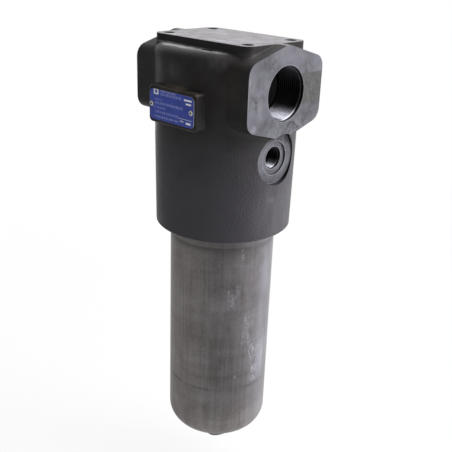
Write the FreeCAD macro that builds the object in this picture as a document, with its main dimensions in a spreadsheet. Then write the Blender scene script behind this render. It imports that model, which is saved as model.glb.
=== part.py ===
import FreeCAD, Part
import math
import os
import Sketcher
from FreeCAD import Placement, Rotation, Vector

# In-line high-pressure hydraulic filter.
# Origin: centre of the top mounting face. +Z up, +X towards the outlet port, -Y towards the nameplate.
# All lengths are millimetres, all angles are degrees.

doc = FreeCAD.newDocument("pressure_filter")

DIMENSIONS = [
    # cast head, outside
    ("head_height", 176.0),
    ("rim_wall", 15.8),
    ("draft_gain", 1.0),
    ("draft_below_boss", 10.0),
    ("shoulder_depth", 7.0),
    ("shoulder_round", 9.0),
    ("rim_bevel", 1.2),
    ("port_face_proud", 3.2),
    ("port_depth", 41.0),
    ("boss_half_width", 49.5),
    ("boss_below_port", 41.0),
    ("boss_roof_angle", 16.0),
    ("boss_corner_round", 12.0),
    ("boss_ridge_round", 15.0),
    ("boss_blend", 6.0),
    ("block_length", 118.0),
    ("block_width", 79.0),
    ("block_corner_round", 9.0),
    ("block_blend", 1.6),
    ("mill_allowance", 0.8),
    ("mill_stock", 4.0),
    # cast head, inside
    ("port_thread_radius", 23.9),
    ("port_thread_length", 30.0),
    ("port_chamfer", 0.5),
    ("passage_radius", 19.0),
    ("inlet_end", 23.0),
    ("web_thickness", 7.0),
    ("drop_half_width", 10.0),
    ("drop_straight", 18.0),
    ("drop_round", 9.0),
    ("riser_radius", 15.5),
    ("chamber_below_port", 39.0),
    ("chamber_step", 4.05),
    ("chamber_round", 6.0),
    ("seal_bore_length", 18.0),
    ("bowl_thread_depth", 40.0),
    ("seal_groove_depth", 3.0),
    ("seal_groove_width", 6.6),
    ("seal_groove_below_top", 8.0),
    # mounting holes, M10
    ("mount_edge_x", 10.5),
    ("mount_edge_y", 11.0),
    ("mount_hole_radius", 5.0),
    ("mount_hole_depth", 18.0),
    ("mount_chamfer", 0.3),
    ("mouth_angle", 45.0),
    # indicator port, M20
    ("indicator_below_port", 59.5),
    ("spot_depth", 5.8),
    ("spot_radius", 24.0),
    ("counterbore_radius", 15.5),
    ("counterbore_depth", 1.5),
    ("indicator_thread_radius", 10.0),
    ("indicator_thread_length", 14.0),
    ("indicator_chamfer", 0.5),
    ("indicator_drill_radius", 6.0),
    ("sense_drill_radius", 2.5),
    ("sense_drill_inset", 10.0),
    # shallow casting mark on the shoulder
    ("mark_x", 17.0),
    ("mark_off_block", 4.7),
    ("mark_half_length", 7.6),
    ("mark_half_width", 2.6),
    ("mark_round", 2.4),
    ("mark_depth", 1.0),
    # nameplate and its pad
    ("plate_depth", 56.0),
    ("plate_length", 56.0),
    ("plate_height", 27.0),
    ("plate_thickness", 0.8),
    ("plate_corner_round", 4.5),
    ("pad_end_margin", 2.0),
    ("pad_side_margin", 3.0),
    ("pad_proud", 2.6),
    ("pad_draft", 6.0),
    ("pad_round", 1.5),
    ("pad_corner_round", 4.0),
    ("rivet_edge", 3.0),
    ("rivet_shank_radius", 1.25),
    ("rivet_head_radius", 2.4),
    ("rivet_head_height", 1.0),
    ("rivet_length", 6.0),
    ("rivet_crown_radius", 1.7),
    ("rivet_dimple_radius", 0.85),
    ("rivet_dimple_depth", 0.5),
    # bowl
    ("bowl_radius", 52.0),
    ("bowl_wall", 9.0),
    ("bowl_length", 235.0),
    ("bowl_end_round", 20.0),
    ("bowl_floor", 11.0),
    ("bowl_land", 11.0),
    ("bowl_land_step", 0.25),
    ("bowl_thread_step", 2.0),
    ("bowl_thread_height", 1.95),
    ("nose_length", 19.0),
    ("relief_width", 3.0),
    ("wrench_flats", 24.0),
    ("wrench_height", 24.0),
    ("wrench_chamfer_angle", 30.0),
    # fits, and how far a cutting body runs past the face it opens
    ("tool_overrun", 1.0),
    ("thread_clearance", 0.1),
    ("running_clearance", 0.05),
    ("seat_clearance", 0.1),
    ("coil_clearance", 0.4),
    ("lead_in", 1.0),
    # element spigot
    ("spigot_tube_radius", 18.0),
    ("spigot_tube_wall", 3.5),
    ("spigot_tube_length", 32.0),
    ("spigot_thread_gain", 1.0),
    ("spigot_thread_length", 13.0),
    ("spigot_thread_runout", 1.0),
    ("spigot_flange_rim", 3.5),
    ("spigot_flange_height", 5.0),
    # element
    ("element_annulus", 4.0),
    ("element_gap", 6.0),
    ("cap_thickness", 3.0),
    ("cap_skirt", 9.0),
    ("cap_skirt_wall", 1.2),
    ("potting_depth", 3.0),
    ("hub_wall", 5.5),
    ("hub_length", 20.0),
    ("pleat_count", 48.0),
    ("pleat_off_core", 1.1),
    ("pleat_sheet", 0.7),
    ("core_off_hub", 0.4),
    ("core_wall", 1.5),
    ("core_hole_radius", 3.0),
    ("core_rows", 9.0),
    ("core_holes_round", 6.0),
    ("spring_boss_height", 5.0),
    ("o_ring_cord", 3.0),
    ("o_ring_groove", 3.9),
    # support spring and its seat in the bowl
    ("support_mean_radius", 16.5),
    ("support_wire_radius", 1.4),
    ("support_turns", 4.0),
    ("support_length", 34.0),
    ("support_seat_rim", 6.1),
    ("support_seat_height", 3.0),
    # bypass valve
    ("bypass_thread_radius", 12.0),
    ("bypass_flange_rim", 2.5),
    ("bypass_flange_height", 3.0),
    ("bypass_seal_inset", 0.5),
    ("bypass_seal_height", 1.5),
    ("bypass_bore_radius", 7.0),
    ("bypass_hub_wall", 3.3),
    ("bypass_hub_length", 3.0),
    ("bypass_cage_wall", 1.7),
    ("bypass_cage_length", 27.0),
    ("bypass_cage_end", 3.0),
    ("bypass_window_width", 9.0),
    ("bypass_window_length", 13.0),
    ("bypass_window_round", 2.25),
    ("poppet_play", 0.7),
    ("poppet_thickness", 2.5),
    ("poppet_stem_radius", 2.5),
    ("poppet_stem_proud", 1.5),
    ("poppet_nose_play", 0.3),
    ("bypass_wire_radius", 0.9),
    ("bypass_spring_off_stem", 3.7),
    ("bypass_turns", 6.0),
]


class Size:
    # A number together with the sheet expression that gives it.
    def __init__(self, value, text):
        self.value = float(value)
        self.text = text

    def __add__(self, other):
        other = size(other)
        return Size(self.value + other.value, "(%s + %s)" % (self.text, other.text))

    def __radd__(self, other):
        return size(other) + self

    def __sub__(self, other):
        other = size(other)
        return Size(self.value - other.value, "(%s - %s)" % (self.text, other.text))

    def __rsub__(self, other):
        return size(other) - self

    def __mul__(self, other):
        other = size(other)
        return Size(self.value * other.value, "(%s * %s)" % (self.text, other.text))

    def __rmul__(self, other):
        return size(other) * self

    def __truediv__(self, other):
        other = size(other)
        return Size(self.value / other.value, "(%s / %s)" % (self.text, other.text))

    def __neg__(self):
        return Size(-self.value, "(0 - %s)" % self.text)


def size(given):
    if isinstance(given, Size):
        return given
    return Size(given, repr(float(given)))


def tangent(angle):
    return Size(math.tan(math.radians(angle.value)), "tan(%s * 1 deg)" % angle.text)


class Dimensions:
    # Attribute access to the sheet's cells, each as a Size.
    def __init__(self):
        sheet = doc.addObject("Spreadsheet::Sheet", "Dims")
        for row, (name, value) in enumerate(DIMENSIONS, start=1):
            sheet.set("A%d" % row, name)
            sheet.set("B%d" % row, str(value))
            sheet.setAlias("B%d" % row, name)
            setattr(self, name, Size(value, "Dims." + name))


dim = Dimensions()
doc.recompute()

# Radii that follow from the bowl's: its thread, the head's seal bore, chamber, rim and upper barrel.
dim.bowl_thread_radius = dim.bowl_radius - dim.bowl_thread_step
dim.seal_bore_radius = dim.bowl_thread_radius - dim.bowl_thread_height
dim.chamber_radius = dim.seal_bore_radius - dim.chamber_step
dim.rim_radius = dim.bowl_thread_radius + dim.rim_wall
dim.upper_radius = dim.rim_radius + dim.draft_gain

# Levels below the mounting face, and the planes that stand off the barrel.
dim.boss_bottom = dim.port_depth + dim.boss_below_port
dim.draft_top = dim.boss_bottom + dim.draft_below_boss
dim.chamber_roof_depth = dim.port_depth + dim.chamber_below_port
dim.seal_bore_top = dim.head_height - dim.bowl_thread_depth - dim.seal_bore_length
dim.indicator_depth = dim.port_depth + dim.indicator_below_port
dim.port_face = dim.upper_radius + dim.port_face_proud
dim.indicator_face = dim.upper_radius - dim.spot_depth
dim.pad_front = dim.upper_radius + dim.pad_proud
dim.pad_root = dim.rim_radius / 2

# Places of the mounting holes and of the rivets.
dim.mount_x = dim.block_length / 2 - dim.mount_edge_x
dim.mount_y = dim.block_width / 2 - dim.mount_edge_y
dim.rivet_x = dim.plate_length / 2 - dim.rivet_edge

# Radii of the spigot, and of the element between the spigot and the bowl's wall.
dim.spigot_bore_radius = dim.spigot_tube_radius - dim.spigot_tube_wall
dim.spigot_thread_radius = dim.spigot_tube_radius + dim.spigot_thread_gain
dim.spigot_flange_radius = dim.spigot_thread_radius + dim.spigot_flange_rim
dim.hub_bore_radius = dim.spigot_tube_radius + dim.seat_clearance
dim.hub_radius = dim.hub_bore_radius + dim.hub_wall
dim.core_radius = dim.hub_radius + dim.core_off_hub + dim.core_wall
dim.pleat_inner_radius = dim.core_radius + dim.pleat_off_core
dim.element_radius = dim.bowl_radius - dim.bowl_wall - dim.element_annulus
dim.spring_boss_radius = dim.support_mean_radius - dim.support_wire_radius - dim.coil_clearance
dim.support_seat_radius = dim.support_mean_radius + dim.support_wire_radius + dim.support_seat_rim

# Radii of the bypass valve, from its bore outwards.
dim.bypass_hub_radius = dim.bypass_bore_radius + dim.bypass_hub_wall
dim.bypass_cage_radius = dim.bypass_hub_radius + dim.bypass_cage_wall
dim.poppet_radius = dim.bypass_hub_radius - dim.poppet_play
dim.bypass_flange_radius = dim.bypass_thread_radius + dim.bypass_flange_rim
dim.bypass_seal_radius = dim.bypass_flange_radius - dim.bypass_seal_inset
dim.bypass_spring_radius = dim.poppet_stem_radius + dim.bypass_spring_off_stem


def origin_plane(body, role):
    return [feature for feature in body.Origin.OriginFeatures if feature.Role == role][0]


def new_body(name):
    body = doc.addObject("PartDesign::Body", name)
    body.Label = name
    return body


def new_sketch(body, name, role, shift_x=None, shift_y=None, lift=None):
    # A sketch on one of the body's origin planes, moved in the plane or along its normal.
    sketch = body.newObject("Sketcher::SketchObject", name)
    sketch.AttachmentSupport = [(origin_plane(body, role), "")]
    sketch.MapMode = "FlatFace"
    for axis, shift in (("x", shift_x), ("y", shift_y), ("z", lift)):
        if shift is not None:
            sketch.setExpression("AttachmentOffset.Base." + axis, size(shift).text)
    return sketch


def pin(sketch, kind, first, first_end, value):
    # Place a point of the sketch from its origin, bound to the sheet.
    value = size(value)
    number = sketch.addConstraint(Sketcher.Constraint(kind, -1, 1, first, first_end, value.value))
    sketch.setExpression("Constraints[%d]" % number, value.text)


def outline(sketch, points):
    # A closed run of straight lines through points, each two sizes and, if it is rounded, a radius.
    corners = [Vector(size(point[0]).value, size(point[1]).value, 0) for point in points]
    radii = [size(point[2]) if len(point) > 2 else None for point in points]
    count = len(corners)
    starts, ends, arcs = [], [], []
    for index in range(count):
        before = (corners[index - 1] - corners[index]).normalize()
        after = (corners[(index + 1) % count] - corners[index]).normalize()
        if radii[index] is None:
            ends.append(corners[index])
            starts.append(corners[index])
            arcs.append(None)
            continue
        half_angle = before.getAngle(after) / 2
        back = radii[index].value / math.tan(half_angle)
        centre = corners[index] + (before + after).normalize() * (radii[index].value / math.sin(half_angle))
        ends.append(corners[index] + before * back)
        starts.append(corners[index] + after * back)
        left_turn = before.cross(after).z < 0
        arcs.append((centre, left_turn))
    for index in range(count):
        sketch.addGeometry(Part.LineSegment(starts[index], ends[(index + 1) % count]), False)
    for index, (u, v) in enumerate([point[:2] for point in points]):
        line_in, line_out = (index - 1) % count, index
        if arcs[index] is None:
            sketch.addConstraint(Sketcher.Constraint("Coincident", line_in, 2, line_out, 1))
            pin(sketch, "DistanceX", line_out, 1, u)
            pin(sketch, "DistanceY", line_out, 1, v)
            continue
        centre, left_turn = arcs[index]
        first, last = (ends[index], starts[index]) if left_turn else (starts[index], ends[index])
        angles = [math.atan2(end.y - centre.y, end.x - centre.x) for end in (first, last)]
        circle = Part.Circle(centre, Vector(0, 0, 1), radii[index].value)
        arc = sketch.addGeometry(Part.ArcOfCircle(circle, angles[0], angles[1]), False)
        arc_in, arc_out = (1, 2) if left_turn else (2, 1)
        sketch.addConstraint(Sketcher.Constraint("Tangent", line_in, 2, arc, arc_in))
        sketch.addConstraint(Sketcher.Constraint("Tangent", arc, arc_out, line_out, 1))
        rule = sketch.addConstraint(Sketcher.Constraint("Radius", arc, radii[index].value))
        sketch.setExpression("Constraints[%d]" % rule, radii[index].text)
        corner = sketch.addGeometry(Part.Point(corners[index]), True)
        pin(sketch, "DistanceX", corner, 1, u)
        pin(sketch, "DistanceY", corner, 1, v)
        sketch.addConstraint(Sketcher.Constraint("PointOnObject", corner, 1, line_in))
        sketch.addConstraint(Sketcher.Constraint("PointOnObject", corner, 1, line_out))


def ring(sketch, radius, u=0, v=0):
    # A full circle, its centre placed from the sketch's origin.
    centre = Vector(size(u).value, size(v).value, 0)
    number = sketch.addGeometry(Part.Circle(centre, Vector(0, 0, 1), size(radius).value), False)
    pin(sketch, "DistanceX", number, 3, u)
    pin(sketch, "DistanceY", number, 3, v)
    rule = sketch.addConstraint(Sketcher.Constraint("Radius", number, size(radius).value))
    sketch.setExpression("Constraints[%d]" % rule, size(radius).text)


def volume_of(body):
    return body.Shape.Volume if body.Shape.Solids else 0.0


def must_change(body, before, grows, name):
    doc.recompute()
    after = volume_of(body)
    if (after > before) != grows or abs(after - before) < 1e-6:
        raise RuntimeError("%s: %s leaves the volume at %.1f from %.1f" % (body.Label, name, after, before))


def pad(body, name, sketch, length, reverse=False, both=False, draft=None):
    before = volume_of(body)
    feature = body.newObject("PartDesign::Pad", name)
    feature.Refine = False
    feature.Profile = sketch
    feature.setExpression("Length", size(length).text)
    feature.Reversed = reverse
    feature.SideType = "Symmetric" if both else "One side"
    if draft is not None:
        feature.setExpression("TaperAngle", size(draft).text)
    must_change(body, before, True, name)
    return feature


def pocket(body, name, sketch, length, reverse=False, both=False):
    before = volume_of(body)
    feature = body.newObject("PartDesign::Pocket", name)
    feature.Refine = False
    feature.Profile = sketch
    feature.setExpression("Length", size(length).text)
    feature.Reversed = reverse
    feature.SideType = "Symmetric" if both else "One side"
    must_change(body, before, False, name)
    return feature


def turned(body, name, sketch, axis="V_Axis"):
    before = volume_of(body)
    feature = body.newObject("PartDesign::Revolution", name)
    feature.Refine = False
    feature.Profile = sketch
    feature.ReferenceAxis = (sketch, [axis])
    feature.Angle = 360
    must_change(body, before, True, name)
    return feature


def bored(body, name, sketch, axis="V_Axis"):
    before = volume_of(body)
    feature = body.newObject("PartDesign::Groove", name)
    feature.Refine = False
    feature.Profile = sketch
    feature.ReferenceAxis = (sketch, [axis])
    feature.Angle = 360
    must_change(body, before, False, name)
    return feature


def edges_where(body, test):
    doc.recompute()
    return ["Edge%d" % (number + 1) for number, edge in enumerate(body.Shape.Edges) if test(edge)]


def eased(body, name, kind, amount, test):
    # A fillet or chamfer on the edges that pass a test of place.
    names = edges_where(body, test)
    if not names:
        raise RuntimeError("%s: no edge for %s" % (body.Label, name))
    tip = body.Tip
    feature = body.newObject("PartDesign::" + kind, name)
    feature.Refine = False
    feature.Base = (tip, names)
    feature.setExpression("Radius" if kind == "Fillet" else "Size", size(amount).text)
    doc.recompute()
    return feature


def runs_along(edge, axis, reach=1e-4):
    # True for a straight edge that is parallel to one axis.
    if not isinstance(edge.Curve, (Part.Line, Part.LineSegment)):
        return False
    step = edge.Vertexes[-1].Point - edge.Vertexes[0].Point
    others = [abs(step[index]) for index in range(3) if index != axis]
    return max(others) < reach < abs(step[axis])


def middle(edge):
    return edge.valueAt((edge.FirstParameter + edge.LastParameter) / 2)


def is_ring(edge, radius, level, axis=2, reach=0.02):
    # True for a whole circle of a given radius at a given level along an axis.
    curve = edge.Curve
    if not isinstance(curve, Part.Circle):
        return False
    near_level = abs(curve.Center[axis] - size(level).value) < reach
    return near_level and abs(curve.Radius - size(radius).value) < reach


def rectangle(sketch, half_u, half_v, round_radius):
    outline(sketch, [
        (half_u, half_v, round_radius),
        (-half_u, half_v, round_radius),
        (-half_u, -half_v, round_radius),
        (half_u, -half_v, round_radius),
    ])


def is_boss_foot(edge, radius):
    # True for the two upright lines where the flanks of the boss meet the barrel's wall.
    spot = middle(edge)
    on_wall = abs(math.hypot(spot.x, spot.y) - radius.value) < 0.01
    return runs_along(edge, 2) and on_wall and abs(abs(spot.y) - dim.boss_half_width.value) < 0.01


def is_block_foot(edge):
    # True for the edges at the foot of the mounting block, on the shoulder and on the boss.
    spot = middle(edge)
    off_end = abs(abs(spot.x) - dim.block_length.value / 2) < 0.01
    off_side = abs(abs(spot.y) - dim.block_width.value / 2) < 0.01
    return (off_end or off_side) and spot.z < 0 and not runs_along(edge, 2)


def build_head_blank():
    body = new_body("head_blank")
    level = -dim.head_height
    shoulder = -dim.shoulder_depth
    upper_radius = dim.upper_radius

    # The round barrel, a little wider above than at its rim, with a soft shoulder under the top block.
    sketch = new_sketch(body, "barrel_profile", "YZ_Plane")
    outline(sketch, [
        (0, level),
        (dim.rim_radius, level),
        (upper_radius, -dim.draft_top),
        (upper_radius, shoulder),
        (0, shoulder),
    ])
    turned(body, "barrel", sketch)
    eased(body, "shoulder_fillet", "Fillet", dim.shoulder_round, lambda e: is_ring(e, upper_radius, shoulder))
    eased(body, "rim_edge", "Chamfer", dim.rim_bevel, lambda e: is_ring(e, dim.rim_radius, level))

    # The six-sided port boss that runs right through from face to face.
    half = dim.boss_half_width
    fall = half * tangent(dim.boss_roof_angle)
    top = dim.mill_allowance
    bottom = -dim.boss_bottom
    sketch = new_sketch(body, "boss_section", "YZ_Plane")
    outline(sketch, [
        (0, top, dim.boss_ridge_round),
        (half, top - fall, dim.boss_corner_round),
        (half, bottom + fall, dim.boss_corner_round),
        (0, bottom, dim.boss_ridge_round),
        (-half, bottom + fall, dim.boss_corner_round),
        (-half, top - fall, dim.boss_corner_round),
    ])
    pad(body, "port_boss", sketch, dim.port_face * 2, both=True)

    # The cast blend all round the boss, where it leaves the barrel and its shoulder.
    eased(body, "boss_blend", "Fillet", dim.boss_blend, lambda e: is_boss_foot(e, upper_radius))

    # The rectangular mounting block on top, down to below the roof of the boss.
    sketch = new_sketch(body, "block_plan", "XY_Plane", lift=dim.mill_stock)
    rectangle(sketch, dim.block_length / 2, dim.block_width / 2, dim.block_corner_round)
    pad(body, "mounting_block", sketch, dim.port_depth, reverse=True)
    eased(body, "block_blend", "Fillet", dim.block_blend, is_block_foot)

    # Everything above the mounting face is milled off, which leaves a narrow flat on the boss.
    sketch = new_sketch(body, "mill_plan", "XY_Plane")
    rectangle(sketch, dim.port_face * 2, dim.port_face * 2, dim.block_corner_round)
    pocket(body, "milled_face", sketch, dim.mill_stock * 2, reverse=True)

    # The raised pad for the nameplate on the front.
    sketch = new_sketch(body, "pad_outline", "XZ_Plane", lift=dim.pad_front)
    half_length = dim.plate_length / 2 + dim.pad_end_margin
    half_height = dim.plate_height / 2 + dim.pad_side_margin
    outline(sketch, [
        (-half_length, -dim.plate_depth - half_height, dim.pad_corner_round),
        (half_length, -dim.plate_depth - half_height, dim.pad_corner_round),
        (half_length, half_height - dim.plate_depth, dim.pad_corner_round),
        (-half_length, half_height - dim.plate_depth, dim.pad_corner_round),
    ])
    pad(body, "nameplate_pad", sketch, dim.pad_front - dim.pad_root, reverse=True, draft=dim.pad_draft)
    front = -dim.pad_front.value
    eased(body, "pad_edges", "Fillet", dim.pad_round,
          lambda e: abs(middle(e).y - front) < 1e-3 and abs(e.Vertexes[0].Point.y - front) < 1e-3)
    return body


def build_head_core():
    # Everything that is cored or machined out of the casting, as one tool body.
    body = new_body("head_core")
    body.AllowCompound = True
    half_span = dim.port_face
    level = -dim.head_height

    # Bowl thread, seal bore, element chamber, spigot thread and the riser to the outlet.
    step = -(dim.head_height - dim.bowl_thread_depth)
    roof = -dim.chamber_roof_depth
    thread_top = roof + dim.spigot_thread_length + dim.spigot_thread_runout
    sketch = new_sketch(body, "main_bore_profile", "YZ_Plane")
    outline(sketch, [
        (0, level),
        (dim.bowl_thread_radius + dim.rim_bevel, level),
        (dim.bowl_thread_radius, level + dim.rim_bevel),
        (dim.bowl_thread_radius, step),
        (dim.seal_bore_radius, step + dim.rim_bevel),
        (dim.seal_bore_radius, -dim.seal_bore_top),
        (dim.chamber_radius, -dim.seal_bore_top),
        (dim.chamber_radius, roof, dim.chamber_round),
        (dim.spigot_thread_radius, roof),
        (dim.spigot_thread_radius, thread_top),
        (dim.riser_radius, thread_top),
        (dim.riser_radius, -dim.port_depth),
        (0, -dim.port_depth),
    ])
    turned(body, "main_bore", sketch)

    # The groove in the seal bore that holds the bowl's O-ring and its backup ring.
    groove_top = -(dim.seal_bore_top + dim.seal_groove_below_top)
    sketch = new_sketch(body, "seal_groove_profile", "YZ_Plane")
    outline(sketch, [
        (dim.seal_bore_radius - dim.tool_overrun, groove_top),
        (dim.seal_bore_radius - dim.tool_overrun, groove_top - dim.seal_groove_width),
        (dim.seal_bore_radius + dim.seal_groove_depth, groove_top - dim.seal_groove_width),
        (dim.seal_bore_radius + dim.seal_groove_depth, groove_top),
    ])
    turned(body, "seal_groove", sketch)

    # The two opposed ports and their passages, with a web between them under the bypass valve.
    cone = dim.port_thread_radius - dim.passage_radius
    for name, side, inner in (("outlet", 1, dim.inlet_end - dim.web_thickness), ("inlet", -1, dim.inlet_end)):
        sketch = new_sketch(body, name + "_profile", "XZ_Plane", shift_y=-dim.port_depth)
        inner_end = -inner
        outline(sketch, [
            (inner_end, 0),
            (inner_end, dim.passage_radius),
            ((half_span - dim.port_thread_length) * side - cone * side, dim.passage_radius),
            ((half_span - dim.port_thread_length) * side, dim.port_thread_radius),
            ((half_span - dim.port_chamfer) * side, dim.port_thread_radius),
            (half_span * side, dim.port_thread_radius + dim.port_chamfer),
            (half_span * side, 0),
        ])
        turned(body, name + "_port", sketch, "H_Axis")
    sketch = new_sketch(body, "web_bore_profile", "XZ_Plane", shift_y=-dim.port_depth)
    outline(sketch, [
        (-dim.inlet_end - dim.tool_overrun, 0),
        (-dim.inlet_end - dim.tool_overrun, dim.bypass_thread_radius),
        (dim.web_thickness - dim.inlet_end + dim.tool_overrun, dim.bypass_thread_radius),
        (dim.web_thickness - dim.inlet_end + dim.tool_overrun, 0),
    ])
    turned(body, "web_bore", sketch, "H_Axis")

    # The cored passage that drops from the inlet into the chamber.
    sketch = new_sketch(body, "drop_plan", "XY_Plane", shift_x=-(dim.inlet_end + dim.drop_half_width),
                        lift=-dim.port_depth)
    rectangle(sketch, dim.drop_half_width, dim.drop_half_width + dim.drop_straight / 2, dim.drop_round)
    pad(body, "inlet_drop", sketch, dim.chamber_roof_depth - dim.port_depth + dim.chamber_round, reverse=True)

    # Four tapped mounting holes with countersunk mouths.
    sketch = new_sketch(body, "mounting_plan", "XY_Plane")
    for u in (1, -1):
        for v in (1, -1):
            ring(sketch, dim.mount_hole_radius, dim.mount_x * u, dim.mount_y * v)
    pad(body, "mounting_holes", sketch, dim.mount_hole_depth, reverse=True)
    sketch = new_sketch(body, "countersink_plan", "XY_Plane")
    for u in (1, -1):
        for v in (1, -1):
            ring(sketch, dim.mount_hole_radius + dim.mount_chamfer, dim.mount_x * u, dim.mount_y * v)
    pad(body, "countersinks", sketch, dim.mount_chamfer, reverse=True, draft=-dim.mouth_angle)

    # The indicator port: deep spot face, counterbore, thread and drilling into the chamber.
    thread_end = dim.indicator_face - dim.counterbore_depth - dim.indicator_thread_length
    sketch = new_sketch(body, "indicator_profile", "XZ_Plane", shift_y=-dim.indicator_depth)
    outline(sketch, [
        (half_span + dim.tool_overrun, 0),
        (half_span + dim.tool_overrun, dim.spot_radius),
        (dim.indicator_face, dim.spot_radius),
        (dim.indicator_face, dim.counterbore_radius),
        (dim.indicator_face - dim.counterbore_depth, dim.counterbore_radius),
        (dim.indicator_face - dim.counterbore_depth, dim.indicator_thread_radius + dim.indicator_chamfer),
        (dim.indicator_face - dim.counterbore_depth - dim.indicator_chamfer, dim.indicator_thread_radius),
        (thread_end, dim.indicator_thread_radius),
        (thread_end, dim.indicator_drill_radius),
        (dim.chamber_radius - dim.tool_overrun * 2, dim.indicator_drill_radius),
        (dim.chamber_radius - dim.tool_overrun * 2, 0),
    ])
    turned(body, "indicator_port", sketch, "H_Axis")
    sketch = new_sketch(body, "sense_plan", "XY_Plane", lift=-dim.port_depth)
    ring(sketch, dim.sense_drill_radius, dim.indicator_face - dim.sense_drill_inset)
    pad(body, "sense_drilling", sketch, dim.indicator_depth - dim.port_depth, reverse=True)

    # Holes for the two drive rivets, and a shallow mark on the shoulder left by the casting.
    sketch = new_sketch(body, "rivet_plan", "XZ_Plane", lift=dim.pad_front)
    for side in (1, -1):
        ring(sketch, dim.rivet_shank_radius, dim.rivet_x * side, -dim.plate_depth)
    pad(body, "rivet_holes", sketch, dim.rivet_length, reverse=True)
    sketch = new_sketch(body, "mark_plan", "XY_Plane", shift_x=dim.mark_x,
                        shift_y=-(dim.block_width / 2 + dim.mark_off_block), lift=-dim.shoulder_depth)
    rectangle(sketch, dim.mark_half_length, dim.mark_half_width, dim.mark_round)
    pad(body, "casting_mark", sketch, dim.mark_depth, reverse=True)
    return body


def build_head():
    head = doc.addObject("Part::Cut", "head_casting")
    head.Label = "head_casting"
    head.Base = build_head_blank()
    head.Tool = build_head_core()
    head.Refine = False
    doc.recompute()
    return head


def turned_piece(name, points, axis="V_Axis", shift=None):
    # A piece turned in one operation about the filter's axis, or about the bypass valve's.
    body = new_body(name)
    plane = "YZ_Plane" if axis == "V_Axis" else "XZ_Plane"
    sketch = new_sketch(body, name + "_profile", plane, shift_y=shift)
    outline(sketch, points)
    turned(body, name + "_turned", sketch, axis)
    return body


def build_nameplate():
    body = new_body("nameplate")
    sketch = new_sketch(body, "plate_outline", "XZ_Plane", shift_y=-dim.plate_depth, lift=dim.pad_front)
    rectangle(sketch, dim.plate_length / 2, dim.plate_height / 2, dim.plate_corner_round)
    for side in (1, -1):
        ring(sketch, dim.rivet_shank_radius, dim.rivet_x * side)
    pad(body, "plate", sketch, dim.plate_thickness)
    return body


def build_rivets():
    # Two drive rivets: domed head with a dimple, shank through the plate into the pad.
    body = new_body("nameplate_rivets")
    body.AllowCompound = True
    seat = dim.pad_front + dim.plate_thickness
    crown = seat + dim.rivet_head_height
    shank = dim.rivet_shank_radius - dim.running_clearance
    shank_end = dim.rivet_length - dim.pad_front - dim.seat_clearance
    for number, side in enumerate((1, -1)):
        sketch = new_sketch(body, "rivet_profile_%d" % number, "XY_Plane",
                            shift_x=dim.rivet_x * side, lift=-dim.plate_depth)
        outline(sketch, [
            (0, shank_end),
            (shank / 2, shank_end),
            (shank, shank_end - shank / 2),
            (shank, -seat),
            (dim.rivet_head_radius, -seat),
            (dim.rivet_crown_radius, -crown),
            (dim.rivet_dimple_radius, -crown),
            (dim.rivet_dimple_radius, dim.rivet_dimple_depth - crown),
            (0, dim.rivet_dimple_depth - crown),
        ])
        turned(body, "rivet_%d" % number, sketch, "V_Axis")
    return body


def build_spigot():
    # Screwed into the roof of the chamber; the element pushes up on to its tube.
    roof = -dim.chamber_roof_depth
    thread = dim.spigot_thread_radius - dim.thread_clearance
    foot = roof - dim.spigot_flange_height
    end = roof - dim.spigot_tube_length
    lead = dim.lead_in
    body = turned_piece("element_spigot", [
        (dim.spigot_bore_radius, roof + dim.spigot_thread_length),
        (thread - lead, roof + dim.spigot_thread_length),
        (thread, roof + dim.spigot_thread_length - lead),
        (thread, roof),
        (dim.spigot_flange_radius, roof),
        (dim.spigot_flange_radius, foot),
        (dim.spigot_tube_radius, foot),
        (dim.spigot_tube_radius, end + lead),
        (dim.spigot_tube_radius - lead, end),
        (dim.spigot_bore_radius, end),
    ])
    # Two flats on the flange for the spanner.
    sketch = new_sketch(body, "spanner_plan", "XY_Plane", lift=roof)
    reach = dim.spigot_flange_radius + dim.tool_overrun
    for side in (1, -1):
        outline_box(sketch, dim.spigot_tube_radius * side, reach * side,
                    -dim.spigot_flange_radius, dim.spigot_flange_radius)
    pocket(body, "spanner_flats", sketch, dim.spigot_flange_height)
    return body


def outline_box(sketch, u0, u1, v0, v1):
    # One more plain rectangle in a sketch that may already hold others.
    start = sketch.GeometryCount
    corners = [(u0, v0), (u1, v0), (u1, v1), (u0, v1)]
    places = [Vector(size(u).value, size(v).value, 0) for u, v in corners]
    for index in range(4):
        sketch.addGeometry(Part.LineSegment(places[index], places[(index + 1) % 4]), False)
    for index in range(4):
        sketch.addConstraint(Sketcher.Constraint("Coincident", start + index, 2, start + (index + 1) % 4, 1))
        pin(sketch, "DistanceX", start + index, 1, corners[index][0])
        pin(sketch, "DistanceY", start + index, 1, corners[index][1])


def element_top():
    # Level of the element's upper cap below the mounting face.
    return -(dim.chamber_roof_depth + dim.spigot_flange_height + dim.element_gap)


def build_upper_cap():
    top = element_top()
    bore = dim.hub_bore_radius
    hub = dim.hub_radius
    groove_top = top - dim.cap_thickness * 2
    return turned_piece("element_upper_cap", [
        (bore, top),
        (dim.element_radius, top),
        (dim.element_radius, top - dim.cap_skirt),
        (dim.element_radius - dim.cap_skirt_wall, top - dim.cap_skirt),
        (dim.element_radius - dim.cap_skirt_wall, top - dim.cap_thickness),
        (hub, top - dim.cap_thickness),
        (hub, top - dim.hub_length),
        (bore, top - dim.hub_length),
        (bore, groove_top - dim.o_ring_groove),
        (bore + dim.o_ring_cord, groove_top - dim.o_ring_groove),
        (bore + dim.o_ring_cord, groove_top),
        (bore, groove_top),
    ])


def torus(name, middle_radius, cord_radius, level):
    # A round-section ring lying in a groove.
    body = new_body(name)
    sketch = new_sketch(body, name + "_section", "YZ_Plane")
    ring(sketch, cord_radius, middle_radius, level)
    turned(body, name + "_turned", sketch)
    return body


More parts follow.
